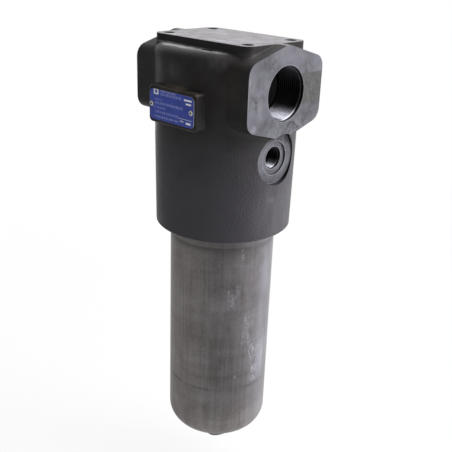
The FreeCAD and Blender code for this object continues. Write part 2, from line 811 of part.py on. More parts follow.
def build_element_o_ring():
    groove_top = element_top() - dim.cap_thickness * 2
    cord = (dim.o_ring_cord - dim.running_clearance) / 2
    middle_radius = dim.hub_bore_radius + dim.o_ring_cord - cord
    return torus("element_o_ring", middle_radius, cord, groove_top - dim.o_ring_groove / 2)


def element_base():
    # Level of the lower cap's underside: the support spring's length above its seat in the bowl.
    return bowl_floor_level() + dim.support_seat_height + dim.support_length


def build_lower_cap():
    base = element_base()
    return turned_piece("element_lower_cap", [
        (0, base + dim.cap_thickness),
        (dim.element_radius - dim.cap_skirt_wall, base + dim.cap_thickness),
        (dim.element_radius - dim.cap_skirt_wall, base + dim.cap_skirt),
        (dim.element_radius, base + dim.cap_skirt),
        (dim.element_radius, base),
        (dim.spring_boss_radius, base),
        (dim.spring_boss_radius, base - dim.spring_boss_height),
        (0, base - dim.spring_boss_height),
    ])


def build_potting():
    # The rings of cured resin that bond the folds and the core tube's ends into the two caps.
    rings = []
    lower = element_base() + dim.cap_thickness
    upper = element_top() - dim.cap_thickness
    for name, start, end in (("element_lower_potting", lower, lower + dim.potting_depth),
                             ("element_upper_potting", upper - dim.potting_depth, upper)):
        rings.append(turned_piece(name, [
            (dim.core_radius, start),
            (dim.element_radius - dim.cap_skirt_wall, start),
            (dim.element_radius - dim.cap_skirt_wall, end),
            (dim.core_radius, end),
        ]))
    return rings


def build_pleats():
    # The folded filter medium: a star of folds that stands between the two rings of resin.
    bottom = element_base() + dim.cap_thickness + dim.potting_depth
    top = element_top() - dim.cap_thickness - dim.potting_depth
    count = int(round(dim.pleat_count.value))
    tip = dim.element_radius.value - dim.cap_skirt_wall.value - dim.seat_clearance.value
    root = dim.pleat_inner_radius.value
    sheet = dim.pleat_sheet.value
    step = math.pi / count
    half_pitch = (tip + root) / 2 * step
    skin = sheet / math.sin(math.atan2(half_pitch, tip - root))
    outer, inner = [], []
    for fold in range(2 * count):
        direction = Vector(math.cos(fold * step), math.sin(fold * step), 0)
        radius = tip if fold % 2 == 0 else root + skin
        outer.append(direction * radius + Vector(0, 0, bottom.value))
        inner.append(direction * (radius - skin) + Vector(0, 0, bottom.value))
    star = Part.Face(Part.makePolygon(outer + outer[:1])).cut(Part.Face(Part.makePolygon(inner + inner[:1])))
    feature = doc.addObject("Part::Feature", "element_pleats")
    feature.Label = "element_pleats"
    feature.Shape = star.Faces[0].extrude(Vector(0, 0, top.value - bottom.value))
    return feature


def build_core_tube():
    # Perforated tube that carries the folds against collapse.
    bottom = element_base() + dim.cap_thickness
    top = element_top() - dim.cap_thickness
    body = turned_piece("element_core_tube", [
        (dim.core_radius - dim.core_wall, bottom),
        (dim.core_radius, bottom),
        (dim.core_radius, top),
        (dim.core_radius - dim.core_wall, top),
    ])
    rows = int(round(dim.core_rows.value))
    around = int(round(dim.core_holes_round.value))
    # The rows start above the lower ring of resin and end below the upper cap's hub.
    sketch = new_sketch(body, "hole_column", "XZ_Plane")
    first = bottom + dim.potting_depth
    row_pitch = (element_top() - dim.hub_length - first) / rows
    for row in range(rows):
        ring(sketch, dim.core_hole_radius, 0, first + row_pitch * (row + 0.5))
    column = pocket(body, "hole_column_cut", sketch, dim.element_radius)
    pattern = body.newObject("PartDesign::PolarPattern", "hole_columns")
    pattern.Originals = [column]
    pattern.Axis = (origin_axis(body, "Z_Axis"), [""])
    pattern.Angle = 360
    pattern.Occurrences = around
    body.Tip = pattern
    doc.recompute()
    return body


def origin_axis(body, role):
    return [feature for feature in body.Origin.OriginFeatures if feature.Role == role][0]


def bowl_floor_level():
    # Level of the inside of the bowl's end.
    return -(dim.head_height + dim.bowl_length - dim.bowl_floor)


def build_bowl():
    shoulder = -dim.head_height
    end = shoulder - dim.bowl_length
    bore = dim.bowl_radius - dim.bowl_wall
    nose = dim.seal_bore_radius - dim.running_clearance
    neck = dim.bowl_thread_radius - dim.thread_clearance
    nose_foot = shoulder + dim.bowl_thread_depth - dim.relief_width
    nose_top = nose_foot + dim.nose_length
    lead = dim.rim_bevel
    body = turned_piece("bowl", [
        (0, bowl_floor_level()),
        (bore, bowl_floor_level(), dim.bowl_end_round - dim.bowl_wall),
        (bore, nose_top),
        (nose - lead, nose_top),
        (nose, nose_top - lead),
        (nose, nose_foot),
        (neck - lead, nose_foot),
        (neck, nose_foot - lead),
        (neck, shoulder + dim.relief_width + lead),
        (nose, shoulder + dim.relief_width),
        (nose, shoulder),
        (dim.bowl_radius - dim.bowl_land_step, shoulder),
        (dim.bowl_radius, shoulder - dim.bowl_land_step),
        (dim.bowl_radius, shoulder - dim.bowl_land),
        (dim.bowl_radius - dim.bowl_land_step, shoulder - dim.bowl_land - dim.bowl_land_step),
        (dim.bowl_radius - dim.bowl_land_step, end, dim.bowl_end_round),
        (0, end),
    ])
    # The wrench hexagon on the closed end.
    sketch = new_sketch(body, "hexagon", "XY_Plane", lift=end)
    polygon(sketch, dim.wrench_flats / 2)
    pad(body, "wrench_hexagon", sketch, dim.wrench_height, reverse=True)
    # Its corners are turned off to a cone at the free end.
    tip = end - dim.wrench_height
    inner = dim.wrench_flats / 2
    outer = dim.wrench_flats
    sketch = new_sketch(body, "hexagon_cone", "YZ_Plane")
    outline(sketch, [
        (inner, tip),
        (outer, tip),
        (outer, tip + (outer - inner) * tangent(dim.wrench_chamfer_angle)),
    ])
    bored(body, "turned_corners", sketch)
    return body


def polygon(sketch, inradius, sides=6):
    # A regular polygon by its inscribed radius.
    corner = 1 / math.cos(math.pi / sides)
    points = []
    for index in range(sides):
        angle = 2 * math.pi * index / sides
        points.append((inradius * (corner * math.cos(angle)), inradius * (corner * math.sin(angle))))
    outline(sketch, points)


def seal_groove_top():
    return -(dim.seal_bore_top + dim.seal_groove_below_top)


def build_bowl_seals():
    # The O-ring lies on the pressure side, above; the backup ring below it, away from the pressure.
    gap = dim.running_clearance
    cord = (dim.seal_groove_depth - gap * 2) / 2
    inner = dim.seal_bore_radius + gap
    o_ring = torus("bowl_o_ring", inner + cord, cord, seal_groove_top() - cord - gap)
    lower = seal_groove_top() - dim.seal_groove_width + gap
    upper = seal_groove_top() - cord * 2 - gap * 2
    backup = turned_piece("bowl_backup_ring", [
        (inner, lower),
        (inner + cord * 2, lower),
        (inner + cord * 2, upper),
        (inner, upper),
    ])
    return [o_ring, backup]


def build_support():
    # A light spring on a seat plate holds the element up on its spigot.
    floor = bowl_floor_level()
    seat_top = floor + dim.support_seat_height
    plate = turned_piece("spring_seat", [
        (0, floor),
        (dim.support_seat_radius, floor),
        (dim.support_seat_radius, seat_top),
        (dim.spring_boss_radius, seat_top),
        (dim.spring_boss_radius, seat_top + dim.spring_boss_height),
        (0, seat_top + dim.spring_boss_height),
    ])
    spring = coil("element_spring", dim.support_mean_radius, dim.support_wire_radius, dim.support_turns,
                  seat_top, element_base())
    return [plate, spring]


def coil(name, mean_radius, wire_radius, turns, start, end):
    # A compression spring between two levels along Z.
    low = start.value + wire_radius.value
    height = end.value - start.value - 2 * wire_radius.value
    helix = Part.makeHelix(height / turns.value, height, mean_radius.value)
    wire = Part.Wire(helix.Edges)
    circle = Part.Circle(Vector(mean_radius.value, 0, 0), Vector(0, 1, 0), wire_radius.value)
    profile = Part.Wire([circle.toShape()])
    solid = wire.makePipeShell([profile], True, True)
    feature = doc.addObject("Part::Feature", name)
    feature.Label = name
    feature.Shape = solid
    feature.Placement = Placement(Vector(0, 0, low), Rotation())
    return feature


def window(cage, name, role, start, reach):
    # A pair of round-cornered windows right through the cage, seen along the normal of one plane.
    if role == "XZ_Plane":
        sketch = new_sketch(cage, name + "_outline", role, shift_y=-dim.port_depth)
    else:
        sketch = new_sketch(cage, name + "_outline", role, lift=-dim.port_depth)
    half = dim.bypass_window_width / 2
    end = start + dim.bypass_window_length
    outline(sketch, [
        (start, -half, dim.bypass_window_round),
        (end, -half, dim.bypass_window_round),
        (end, half, dim.bypass_window_round),
        (start, half, dim.bypass_window_round),
    ])
    pocket(cage, name, sketch, reach * 2, both=True)


def build_bypass():
    # A poppet valve across the web, on the port axis, opening towards the outlet.
    axis = -dim.port_depth
    web_face = dim.web_thickness - dim.inlet_end
    thread = dim.bypass_thread_radius - dim.thread_clearance
    seal_end = web_face + dim.bypass_seal_height
    flange_end = seal_end + dim.bypass_flange_height
    seat_end = flange_end + dim.bypass_hub_length
    seat = turned_piece("bypass_seat", [
        (-dim.inlet_end, dim.bypass_bore_radius),
        (-dim.inlet_end, thread - dim.lead_in),
        (dim.lead_in - dim.inlet_end, thread),
        (seal_end, thread),
        (seal_end, dim.bypass_flange_radius),
        (flange_end, dim.bypass_flange_radius),
        (flange_end, dim.bypass_hub_radius),
        (seat_end, dim.bypass_hub_radius),
        (seat_end, dim.bypass_bore_radius),
    ], "H_Axis", axis)
    seal = turned_piece("bypass_seal", [
        (web_face, dim.bypass_thread_radius),
        (web_face, dim.bypass_seal_radius),
        (seal_end, dim.bypass_seal_radius),
        (seal_end, dim.bypass_thread_radius),
    ], "H_Axis", axis)
    bore = dim.bypass_hub_radius
    skin = dim.bypass_cage_radius
    cage_end = flange_end + dim.bypass_cage_length
    guide = dim.poppet_stem_radius + dim.running_clearance
    disc_end = seat_end + dim.poppet_thickness
    cage = turned_piece("bypass_cage", [
        (flange_end, bore),
        (flange_end, skin),
        (cage_end, skin),
        (cage_end, guide),
        (cage_end - dim.bypass_cage_end, guide),
        (cage_end - dim.bypass_cage_end, bore),
    ], "H_Axis", axis)
    window(cage, "side_windows", "XZ_Plane", disc_end, skin + dim.tool_overrun)
    window(cage, "upper_and_lower_windows", "XY_Plane", disc_end, skin + dim.tool_overrun)
    poppet = turned_piece("bypass_poppet", [
        (flange_end, 0),
        (flange_end, dim.bypass_bore_radius / 2),
        (seat_end, dim.bypass_bore_radius - dim.poppet_nose_play),
        (seat_end, dim.poppet_radius),
        (disc_end, dim.poppet_radius),
        (disc_end, dim.poppet_stem_radius),
        (cage_end + dim.poppet_stem_proud, dim.poppet_stem_radius),
        (cage_end + dim.poppet_stem_proud, 0),
    ], "H_Axis", axis)
    spring = coil("bypass_spring", dim.bypass_spring_radius, dim.bypass_wire_radius, dim.bypass_turns,
                  disc_end, cage_end - dim.bypass_cage_end)
    low = disc_end.value + dim.bypass_wire_radius.value
    spring.Placement = Placement(Vector(low, 0, axis.value), Rotation(Vector(0, 1, 0), 90))
    return [seat, seal, cage, poppet, spring]


def build_all():
    pieces = [
        build_head(),
        build_nameplate(),
        build_rivets(),
        build_spigot(),
        build_upper_cap(),
        build_element_o_ring(),
        build_pleats(),
        build_core_tube(),
        build_lower_cap(),
        build_bowl(),
    ]
    pieces += build_potting()
    pieces += build_bowl_seals()
    pieces += build_support()
    pieces += build_bypass()
    return pieces


def write_all(pieces):
    doc.recompute()
    for item in doc.Objects:
        if "Invalid" in item.State or "Error" in item.State:
            raise RuntimeError("%s failed: %s" % (item.Label, item.State))
    os.makedirs("parts", exist_ok=True)
    for piece in pieces:
        if piece.Shape.isNull() or not piece.Shape.isValid() or not piece.Shape.Solids:
            raise RuntimeError(piece.Label + " has no valid shape")
        piece.Shape.exportStep(os.path.join("parts", piece.Label + ".step"))
        print("%-20s %2d solid %10.1f mm3" % (piece.Label, len(piece.Shape.Solids), piece.Shape.Volume))


write_all(build_all())
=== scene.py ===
import math

import bmesh
import bpy
import numpy as np
from mathutils import Matrix, Vector


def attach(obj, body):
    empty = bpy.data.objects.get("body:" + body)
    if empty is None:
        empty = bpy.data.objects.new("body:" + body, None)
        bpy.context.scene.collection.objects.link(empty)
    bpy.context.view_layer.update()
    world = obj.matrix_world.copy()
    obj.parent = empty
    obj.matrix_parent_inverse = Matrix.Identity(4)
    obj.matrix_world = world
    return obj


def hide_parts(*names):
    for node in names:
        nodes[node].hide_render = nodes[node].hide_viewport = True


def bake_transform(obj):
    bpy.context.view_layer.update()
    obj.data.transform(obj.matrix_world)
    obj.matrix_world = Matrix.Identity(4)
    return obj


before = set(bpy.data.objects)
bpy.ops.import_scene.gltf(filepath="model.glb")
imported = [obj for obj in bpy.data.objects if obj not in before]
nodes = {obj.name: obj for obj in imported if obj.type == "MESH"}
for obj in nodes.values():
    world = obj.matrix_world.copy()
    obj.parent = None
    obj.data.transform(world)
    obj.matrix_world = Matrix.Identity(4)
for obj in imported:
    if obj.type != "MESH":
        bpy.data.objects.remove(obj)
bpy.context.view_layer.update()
scene = bpy.context.scene
mm = 0.001

# places that shapes and looks share, in millimetres; levels are below the mounting face
portLevel, indicatorLevel, plateLevel = -41.0, -100.5, -56.0
portFace, spotFace = 70.0, 61.0
holeX, holeY, rivetX = 48.5, 28.5, 25.0


# shapes
mergeReach, flatReach = 2e-7, 1e-8  # metres: points closer than this are one, edges shorter than this go


def gridQuads(rows, columns, closeRows):
    # each quad joins a point to its neighbours in the next row and next column, wrapping round where the grid closes
    row, column = np.meshgrid(np.arange(rows if closeRows else rows - 1), np.arange(columns), indexing="ij")
    nextRow, nextColumn = (row + 1) % rows, (column + 1) % columns
    corners = [row * columns + column, row * columns + nextColumn,
               nextRow * columns + nextColumn, nextRow * columns + column]
    return np.stack(corners, -1).reshape(-1, 4)


def surfacePiece(name, grids, material, body, replaced=(), crease=38.0, closeRows=False):
    # grids of points in millimetres, each row a closed ring or a single point, become one mesh in metres
    points, quads, count = [], [], 0
    for grid in grids:
        rows, columns = grid.shape[:2]
        points.append(grid.reshape(-1, 3))
        quads.append(gridQuads(rows, columns, closeRows) + count)
        count += rows * columns
    points, quads = np.concatenate(points) * mm, np.concatenate(quads)
    mesh = bpy.data.meshes.new(name)
    mesh.from_pydata(points.tolist(), [], quads.tolist())
    work = bmesh.new()
    work.from_mesh(mesh)
    bmesh.ops.remove_doubles(work, verts=work.verts, dist=mergeReach)
    bmesh.ops.dissolve_degenerate(work, edges=work.edges, dist=flatReach)
    bmesh.ops.recalc_face_normals(work, faces=work.faces)
    work.to_mesh(mesh)
    work.free()
    mesh.shade_smooth()
    mesh.set_sharp_from_angle(angle=math.radians(crease))
    mesh.materials.append(material)
    piece = addObject(name, mesh)
    if replaced:
        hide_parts(*replaced)
    if body:
        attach(piece, body)
    return piece


def roundedProfile(corners, steps):
    # a corner (radius, level, round) becomes an arc tangent to both sides, its centre on the corner's bisector
    out = []
    for index, corner in enumerate(corners):
        here = np.array(corner[:2], float)
        if len(corner) < 3:
            out.append(here[None])
            continue
        bend = corner[2]
        back = np.array(corners[index - 1][:2], float) - here
        ahead = np.array(corners[index + 1][:2], float) - here
        back, ahead = back / np.linalg.norm(back), ahead / np.linalg.norm(ahead)
        half = math.acos(np.clip(back @ ahead, -1, 1)) / 2
        middle = (back + ahead) / np.linalg.norm(back + ahead)
        centre = here + middle * bend / math.sin(half)
        start = here + back * bend / math.tan(half) - centre
        end = here + ahead * bend / math.tan(half) - centre
        sweep = math.pi - 2 * half
        share = np.linspace(0, 1, steps + 1)[:, None]
        out.append(centre + (np.sin((1 - share) * sweep) * start + np.sin(share * sweep) * end) / math.sin(sweep))
    return np.concatenate(out)


def placeAlong(radial, angle, level, axis, centre=(0, 0, 0)):
    # cylinder coordinates to x, y, z: right-handed about the axis named, through the centre
    side, rise = radial * np.cos(angle), radial * np.sin(angle)
    level = level + np.zeros_like(side)
    turned = {"z": (side, rise, level), "x": (level, side, rise), "-x": (-level, -side, rise),
              "-y": (side, -level, rise)}[axis]
    return np.stack(turned, -1) + np.array(centre, float)


def turnedGrid(profile, columns, axis, centre):
    # each point of the profile, radius and level, goes once round the axis
    angle = np.linspace(0, 2 * math.pi, columns, endpoint=False)[None, :]
    return placeAlong(profile[:, 0][:, None], angle, profile[:, 1][:, None], axis, centre)


def withEnds(grid):
    # the first and the last ring of a tube are each drawn in to their own middle, which closes it
    first, last = (np.repeat(grid[[row]].mean(1, keepdims=True), grid.shape[1], 1) for row in (0, -1))
    return np.concatenate([first, grid, last])


# half section of a thread's ridge, mirrored: places across it in widths, heights from 0 at the root to 1 at the crest
ridge = {"across": (0.07, 0.11, 0.46, 0.48), "height": (1.0, 0.93, 0.0, -0.12), "fade": 0.5}


def threadGrid(thread, axis, centre):
    # the ridge climbs one pitch a turn; its crest sinks into the wall at both ends, over the fade in turns
    turns = thread["length"] / thread["pitch"]
    climb = np.linspace(0, turns, int(turns * thread["steps"]))[:, None]
    rise = np.clip(np.minimum(climb, turns - climb) / ridge["fade"], 0, 1)
    rise = rise * rise * (3 - 2 * rise)
    across, height = np.array(ridge["across"]), np.array(ridge["height"])
    across, height = np.concatenate([-across[::-1], across]), np.concatenate([height[::-1], height])
    radial = thread["root"] + (thread["crest"] - thread["root"]) * np.where(height > 0, height * rise, height)
    level = thread["start"] + (climb + across * thread["width"]) * thread["pitch"]
    angle = 2 * math.pi * climb + thread["phase"] + np.zeros_like(level)
    return withEnds(placeAlong(radial, angle, level, axis, centre))


# turns closed at each end and how much of them lies flat; pitch of these in wire thicknesses; sides of the wire
coil = {"closed": 0.9, "flat": 0.6, "touch": 0.98, "sides": 14}


def coilGrid(spring, axis, centre):
    # a round wire along a helix whose first and last turn lie flat; the ends are ground level with the box
    turns, wire, closed = spring["turns"], spring["wire"], coil["closed"]
    climb = np.linspace(0, turns, int(turns * spring["steps"]))[:, None]
    # past the closed turns the pitch grows and stays even between them; its running sum is the height gained
    pitchShare = np.clip(np.minimum(climb, turns - climb) / closed - coil["flat"], 0, 1)
    gained = np.concatenate([[[0.0]], np.cumsum((pitchShare[1:] + pitchShare[:-1]) / 2, 0)])
    # each closed turn climbs a little less than the wire's thickness, so that it touches the next
    flatRise = 2 * wire * coil["touch"] * min(turns, 2 * closed) / 2
    free = spring["end"] - spring["start"] - 2 * wire - flatRise
    middle = spring["start"] + wire + flatRise * climb / turns + free * gained / gained[-1]
    around = np.linspace(0, 2 * math.pi, coil["sides"], endpoint=False)[None, :]
    radial = spring["radius"] + wire * np.cos(around) + np.zeros_like(middle)
    level = np.clip(middle + wire * np.sin(around), spring["start"], spring["end"])
    return withEnds(placeAlong(radial, 2 * math.pi * climb, level, axis, centre))


def addObject(name, data):
    made = bpy.data.objects.new(name, data)
    scene.collection.objects.link(made)
    return made


# nodes; they go into the tree that was started last
active = {}


def startTree(owner, cleared=False):
    owner.use_nodes = True
    active["tree"] = owner.node_tree
    if cleared:
        owner.node_tree.nodes.clear()


def feed(socket, value):
    # the output of another node is linked, and a plain value is set
    if isinstance(value, bpy.types.NodeSocket):
        active["tree"].links.new(value, socket)
    elif value is not None:
        socket.default_value = value


def addNode(kind, inputs=None, **settings):
    made = active["tree"].nodes.new("ShaderNode" + kind)
    for key, value in settings.items():
        setattr(made, key, value)
    for socket, value in (inputs or {}).items():
        feed(made.inputs[socket], value)
    return made


def objectPlace():
    return addNode("TexCoord").outputs["Object"]


def split(place):
    return addNode("SeparateXYZ", {0: place}).outputs


def stretched(place, scale, shift=(0, 0, 0)):
    return addNode("Mapping", {"Vector": place, "Location": shift, "Scale": scale}).outputs[0]


def calc(operation, a, b=None, c=None):
    return addNode("Math", {0: a, 1: b, 2: c}, operation=operation).outputs[0]


def vectorCalc(operation, a, b=None, **inputs):
    return addNode("VectorMath", {0: a, 1: b, **inputs}, operation=operation).outputs


def absolute(value):
    return calc("ABSOLUTE", value)


def restOf(share):
    # what is left of 1
    return calc("SUBTRACT", 1.0, share)


def product(first, *others):
    for other in others:
        first = calc("MULTIPLY", first, other)
    return first


def total(first, *others):
    for other in others:
        first = calc("ADD", first, other)
    return first


def weighed(*parts):
    # the sum of each value times its share
    return total(*(product(value, share) for value, share in parts))


def reachOf(a, b):
    # the length of two sides at right angles: the root of the sum of their squares
    return calc("SQRT", total(calc("POWER", a, 2.0), calc("POWER", b, 2.0)))


def span(value, low, high, toLow=0.0, toHigh=1.0, smooth=False):
    # a value between low and high is mapped between toLow and toHigh, and held there outside
    return addNode("MapRange", {"Value": value, 1: low, 2: high, 3: toLow, 4: toHigh},
                   interpolation_type="SMOOTHSTEP" if smooth else "LINEAR").outputs[0]


def measured(value, low, high, toLow=0.0, toHigh=1.0, smooth=False):
    # span with its low and high in millimetres
    return span(value, low * mm, high * mm, toLow, toHigh, smooth)


def eased(value, low, high, toLow=0.0, toHigh=1.0):
    # measured, with soft ends
    return measured(value, low, high, toLow, toHigh, smooth=True)


def noise(place, scale, detail=3.0, rough=0.5, warp=0.0):
    return addNode("TexNoise", {"Vector": place, "Scale": scale, "Detail": detail, "Roughness": rough,
                                "Distortion": warp}).outputs[0]


def lineNoise(along, scale, detail=2.0, row=0.0):
    # noise that changes along one value only; another row gives another pattern
    return noise(addNode("CombineXYZ", {0: along, 1: 0.0, 2: row}).outputs[0], scale, detail)


def mixed(share, a, b, blend="MIX"):
    # the first tone gives way to the second by the share; a plain tone gets its fourth value
    a, b = (tone if isinstance(tone, bpy.types.NodeSocket) else (*tone, 1.0) for tone in (a, b))
    return addNode("Mix", {0: share, 6: a, 7: b}, data_type="RGBA", blend_type=blend).outputs[2]


def marked(place, colour, spots, tone, broken):
    # a spot is 1 at its middle and 0 at its reach; that times its strength and the pattern is the tone's share
    for spot in spots:
        scale = [1 / (reach * mm) for reach in spot[3:6]]
        moved = stretched(place, scale, [-middle * mm * s for middle, s in zip(spot[:3], scale)])
        share = span(vectorCalc("LENGTH", moved)["Value"], 0.0, 1.0, 1.0, 0.0, smooth=True)
        colour = mixed(product(share, broken, spot[6]), colour, tone)
    return colour


def startMaterial(name, metallic=0.0, specular=0.5):
    # starts the material's tree and gives the place in it, the object's own coordinates
    made = bpy.data.materials.new(name)
    startTree(made)
    shader = made.node_tree.nodes["Principled BSDF"]
    shader.inputs["Metallic"].default_value = metallic
    shader.inputs["Specular IOR Level"].default_value = specular
    active["material"], active["shader"] = made, shader
    return objectPlace()


def finished(colour, roughness, height, strength, distance):
    # the height tilts the surface by its strength and its depth in millimetres
    bump = addNode("Bump", {"Height": height, "Strength": strength, "Distance": distance * mm}).outputs[0]
    for socket, value in (("Base Color", colour), ("Roughness", roughness), ("Normal", bump)):
        feed(active["shader"].inputs[socket], value)
    return active["material"]


# lengths in the looks are in millimetres; a noise is its scale, detail, roughness and warp; a spot is its middle, its
# reach along x, y and z, and its strength
castLook = {
    "upper": (0.0165, 0.0142, 0.0132), "lower": (0.047, 0.0435, 0.0535), "pale": (0.062, 0.059, 0.064),
    "brownAndHighlight": (0.112, 0.089, 0.067), "green": (0.035, 0.033, 0.027), "bareAndSheen": (0.26, 0.25, 0.26),
    "darkened": (0.012, 0.011, 0.011), "rubbedAndHighlight": (0.44, 0.425, 0.445),
    "specular": 0.34, "rough": (0.38, 0.54), "sandyTop": 0.24,
    "cell": 1.6, "cellSoftness": 0.6, "sway": 1.8, "swayScale": 260.0, "grain": (0.9, 0.4),
    "sand": (1500.0, 3.0, 0.6), "broad": (16.0, 4.0, 0.55, 0.4), "patches": (75.0, 4.0, 0.6),
    "streak": (1.0, 3.0, 0.6), "streakStretch": (110, 110, 22), "greyLevels": (-75, -165),
    # worn or stained places, with painted highlights and painted shade among them: tone, then the spot
    "wearAndSheen": [
        # the pad's upper edge is lighter brown, partly as a painted highlight, and the dark spot beside the pad's right
        # side is painted shade
        ("brownAndHighlight", 30, -67, -40, 9, 5, 3.4, 0.7), ("darkened", 30.6, -62, -57, 3.4, 9, 18, 0.8),
        ("brownAndHighlight", 4, -67.5, -39, 34, 5, 3.6, 1.0), ("brownAndHighlight", 22, -68, -72.5, 26, 5, 2.2, 0.9),
        ("bareAndSheen", -12, -68, -72.5, 20, 5, 1.8, 0.35), ("brownAndHighlight", 32, -65, -73, 6, 6, 5, 0.5),
        ("green", 50, -44, -36, 15, 16, 26, 0.8), ("bareAndSheen", -26, -60, -21, 16, 8, 13, 0.18),
        ("bareAndSheen", -2, -66, -24, 16, 6, 14, 0.1), ("bareAndSheen", 39, -53, -14, 13, 10, 9, 0.18),
        # the pale strip along the ledge under the block, in these spots, is a painted highlight
        ("rubbedAndHighlight", -16, -46, -7.0, 52, 12, 1.3, 1.0), ("rubbedAndHighlight", -36, -42, -7, 24, 9, 1.8, 0.8),
        ("bareAndSheen", -44, -40, -9, 12, 9, 4, 0.3), ("rubbedAndHighlight", 26, -46, -7, 22, 9, 1.3, 0.7),
        ("darkened", 17, -44.2, -8.4, 9, 4, 1.1, 0.95), ("green", 58, -30, -14, 14, 26, 13, 0.6),
        # the first spot on this line, on the boss roof, is a painted sheen
        ("bareAndSheen", 56, -33, -8, 12, 14, 5, 0.25), ("bareAndSheen", 65.7, -5.2, -138, 7, 8, 4.5, 0.35),
        ("bareAndSheen", 64, -18, -112, 8, 12, 14, 0.1), ("bareAndSheen", -30, -58, -170, 30, 12, 5, 0.1),
        # this large pale spot on the right side of the barrel is a painted sheen
        ("bareAndSheen", 64, 0, -150, 14, 36, 46, 0.27),
    ],
}


def castSkinMaterial():
    # nearly black coat on a casting pebbled in soft cells with sand between, greyer low down; worn places show brown
    # or bare iron, the bare ones in streaks; some pale spots are painted highlights and one dark spot is painted shade
    look = castLook
    place = startMaterial("castSkin", specular=look["specular"])
    x, _, z = split(place)
    warp = addNode("TexNoise", {"Vector": place, "Scale": look["swayScale"], "Detail": 2.0}).outputs["Color"]
    swayed = mixed(look["sway"] * mm, place, warp, "ADD")
    pebble = addNode("TexVoronoi", {"Vector": swayed, "Scale": 1 / (look["cell"] * mm),
                                    "Smoothness": look["cellSoftness"]}, feature="SMOOTH_F1").outputs["Distance"]
    sand, broad, patches = (noise(place, *look[name]) for name in ("sand", "broad", "patches"))
    streak = noise(stretched(place, look["streakStretch"]), *look["streak"])
    tone = weighed((broad, 0.7), (patches, 0.45))
    down = total(z, product(broad, -50 * mm))
    colour = mixed(eased(down, *look["greyLevels"]), look["upper"], look["lower"])
    colour = mixed(span(tone, 0.45, 0.85, 0.0, 0.45), colour, look["pale"])
    # the tones include painted highlights on the ledge, the pad's edge, the boss roof and the barrel's right side, and
    # painted shade beside the pad
    for wearAndSheen, *spot in look["wearAndSheen"]:
        broken = span(streak if wearAndSheen in ("bareAndSheen", "rubbedAndHighlight") else patches, 0.34, 0.6, 0.3, 1.0)
        colour = marked(place, colour, [spot], look[wearAndSheen], broken)
    sandy = measured(z, -26, -9, 0.0, look["sandyTop"])
    rough = total(span(tone, 0.35, 0.8, *look["rough"]), sandy)
    # the pebbling shows most low on the side of the port that faces the camera
    shown = product(eased(x, -35, 35), eased(z, -80, -115))
    shown = span(total(shown, product(broad, 0.3)), 0.1, 1.1, 0.5, 1.0)
    grain = product(total(pebble, product(sand, 0.1)), shown)
    return finished(colour, rough, total(grain, product(patches, 0.12)), *look["grain"])


topLook = {
    "dark": (0.18, 0.167, 0.175), "pale": (0.306, 0.29, 0.318), "smeared": (0.15, 0.139, 0.147),
    "lightened": (0.5, 0.49, 0.53), "edge": (0.12, 0.118, 0.12), "cut": (0.2, 0.2, 0.205),
    "metallic": 0.12, "specular": 0.35, "rough": (0.5, 0.64), "cutterMiddle": -190, "cutScale": 900.0,
    "stain": (75.0, 6.0, 0.7, 0.4), "smear": (1.0, 4.0, 0.6), "smearStretch": (25, 70, 1),
    "edgeX": (50, 59), "edgeY": (32, 39.5),
    "wipes": [
        (-38, -31, 0, 9, 7, 9, 0.55), (20, -30, 0, 24, 7, 9, 0.45), (-8, -34, 0, 12, 4, 9, 0.3),
        (30, -10, 0, 30, 12, 9, 0.2), (-20, 10, 0, 30, 14, 9, 0.15),
    ],
}


def milledTopMaterial():
    # face-milled: faint overlapping arcs of the cutter across a pale grey face, with soft stains and a darker edge
    look = topLook
    place = startMaterial("milledTop", look["metallic"], look["specular"])
    x, y, _ = split(place)
    cut = lineNoise(reachOf(total(x, -look["cutterMiddle"] * mm), y), look["cutScale"])
    stain = noise(place, *look["stain"])
    smear = noise(stretched(place, look["smearStretch"]), *look["smear"])
    colour = mixed(span(stain, 0.4, 0.6), look["dark"], look["pale"])
    colour = mixed(span(smear, 0.45, 0.7, 0.0, 0.35), colour, look["smeared"])
    colour = marked(place, colour, look["wipes"], look["lightened"], span(smear, 0.3, 0.55, 0.4, 1.0))
    edge = calc("MAXIMUM", measured(absolute(x), *look["edgeX"]), measured(absolute(y), *look["edgeY"]))
    colour = mixed(product(edge, span(stain, 0.3, 0.6, 0.1, 0.45)), colour, look["edge"])
    colour = mixed(span(cut, 0.3, 0.8, 0.0, 0.2), colour, look["cut"])
    return finished(colour, span(stain, 0.3, 0.7, *look["rough"]), cut, 0.12, 0.05)


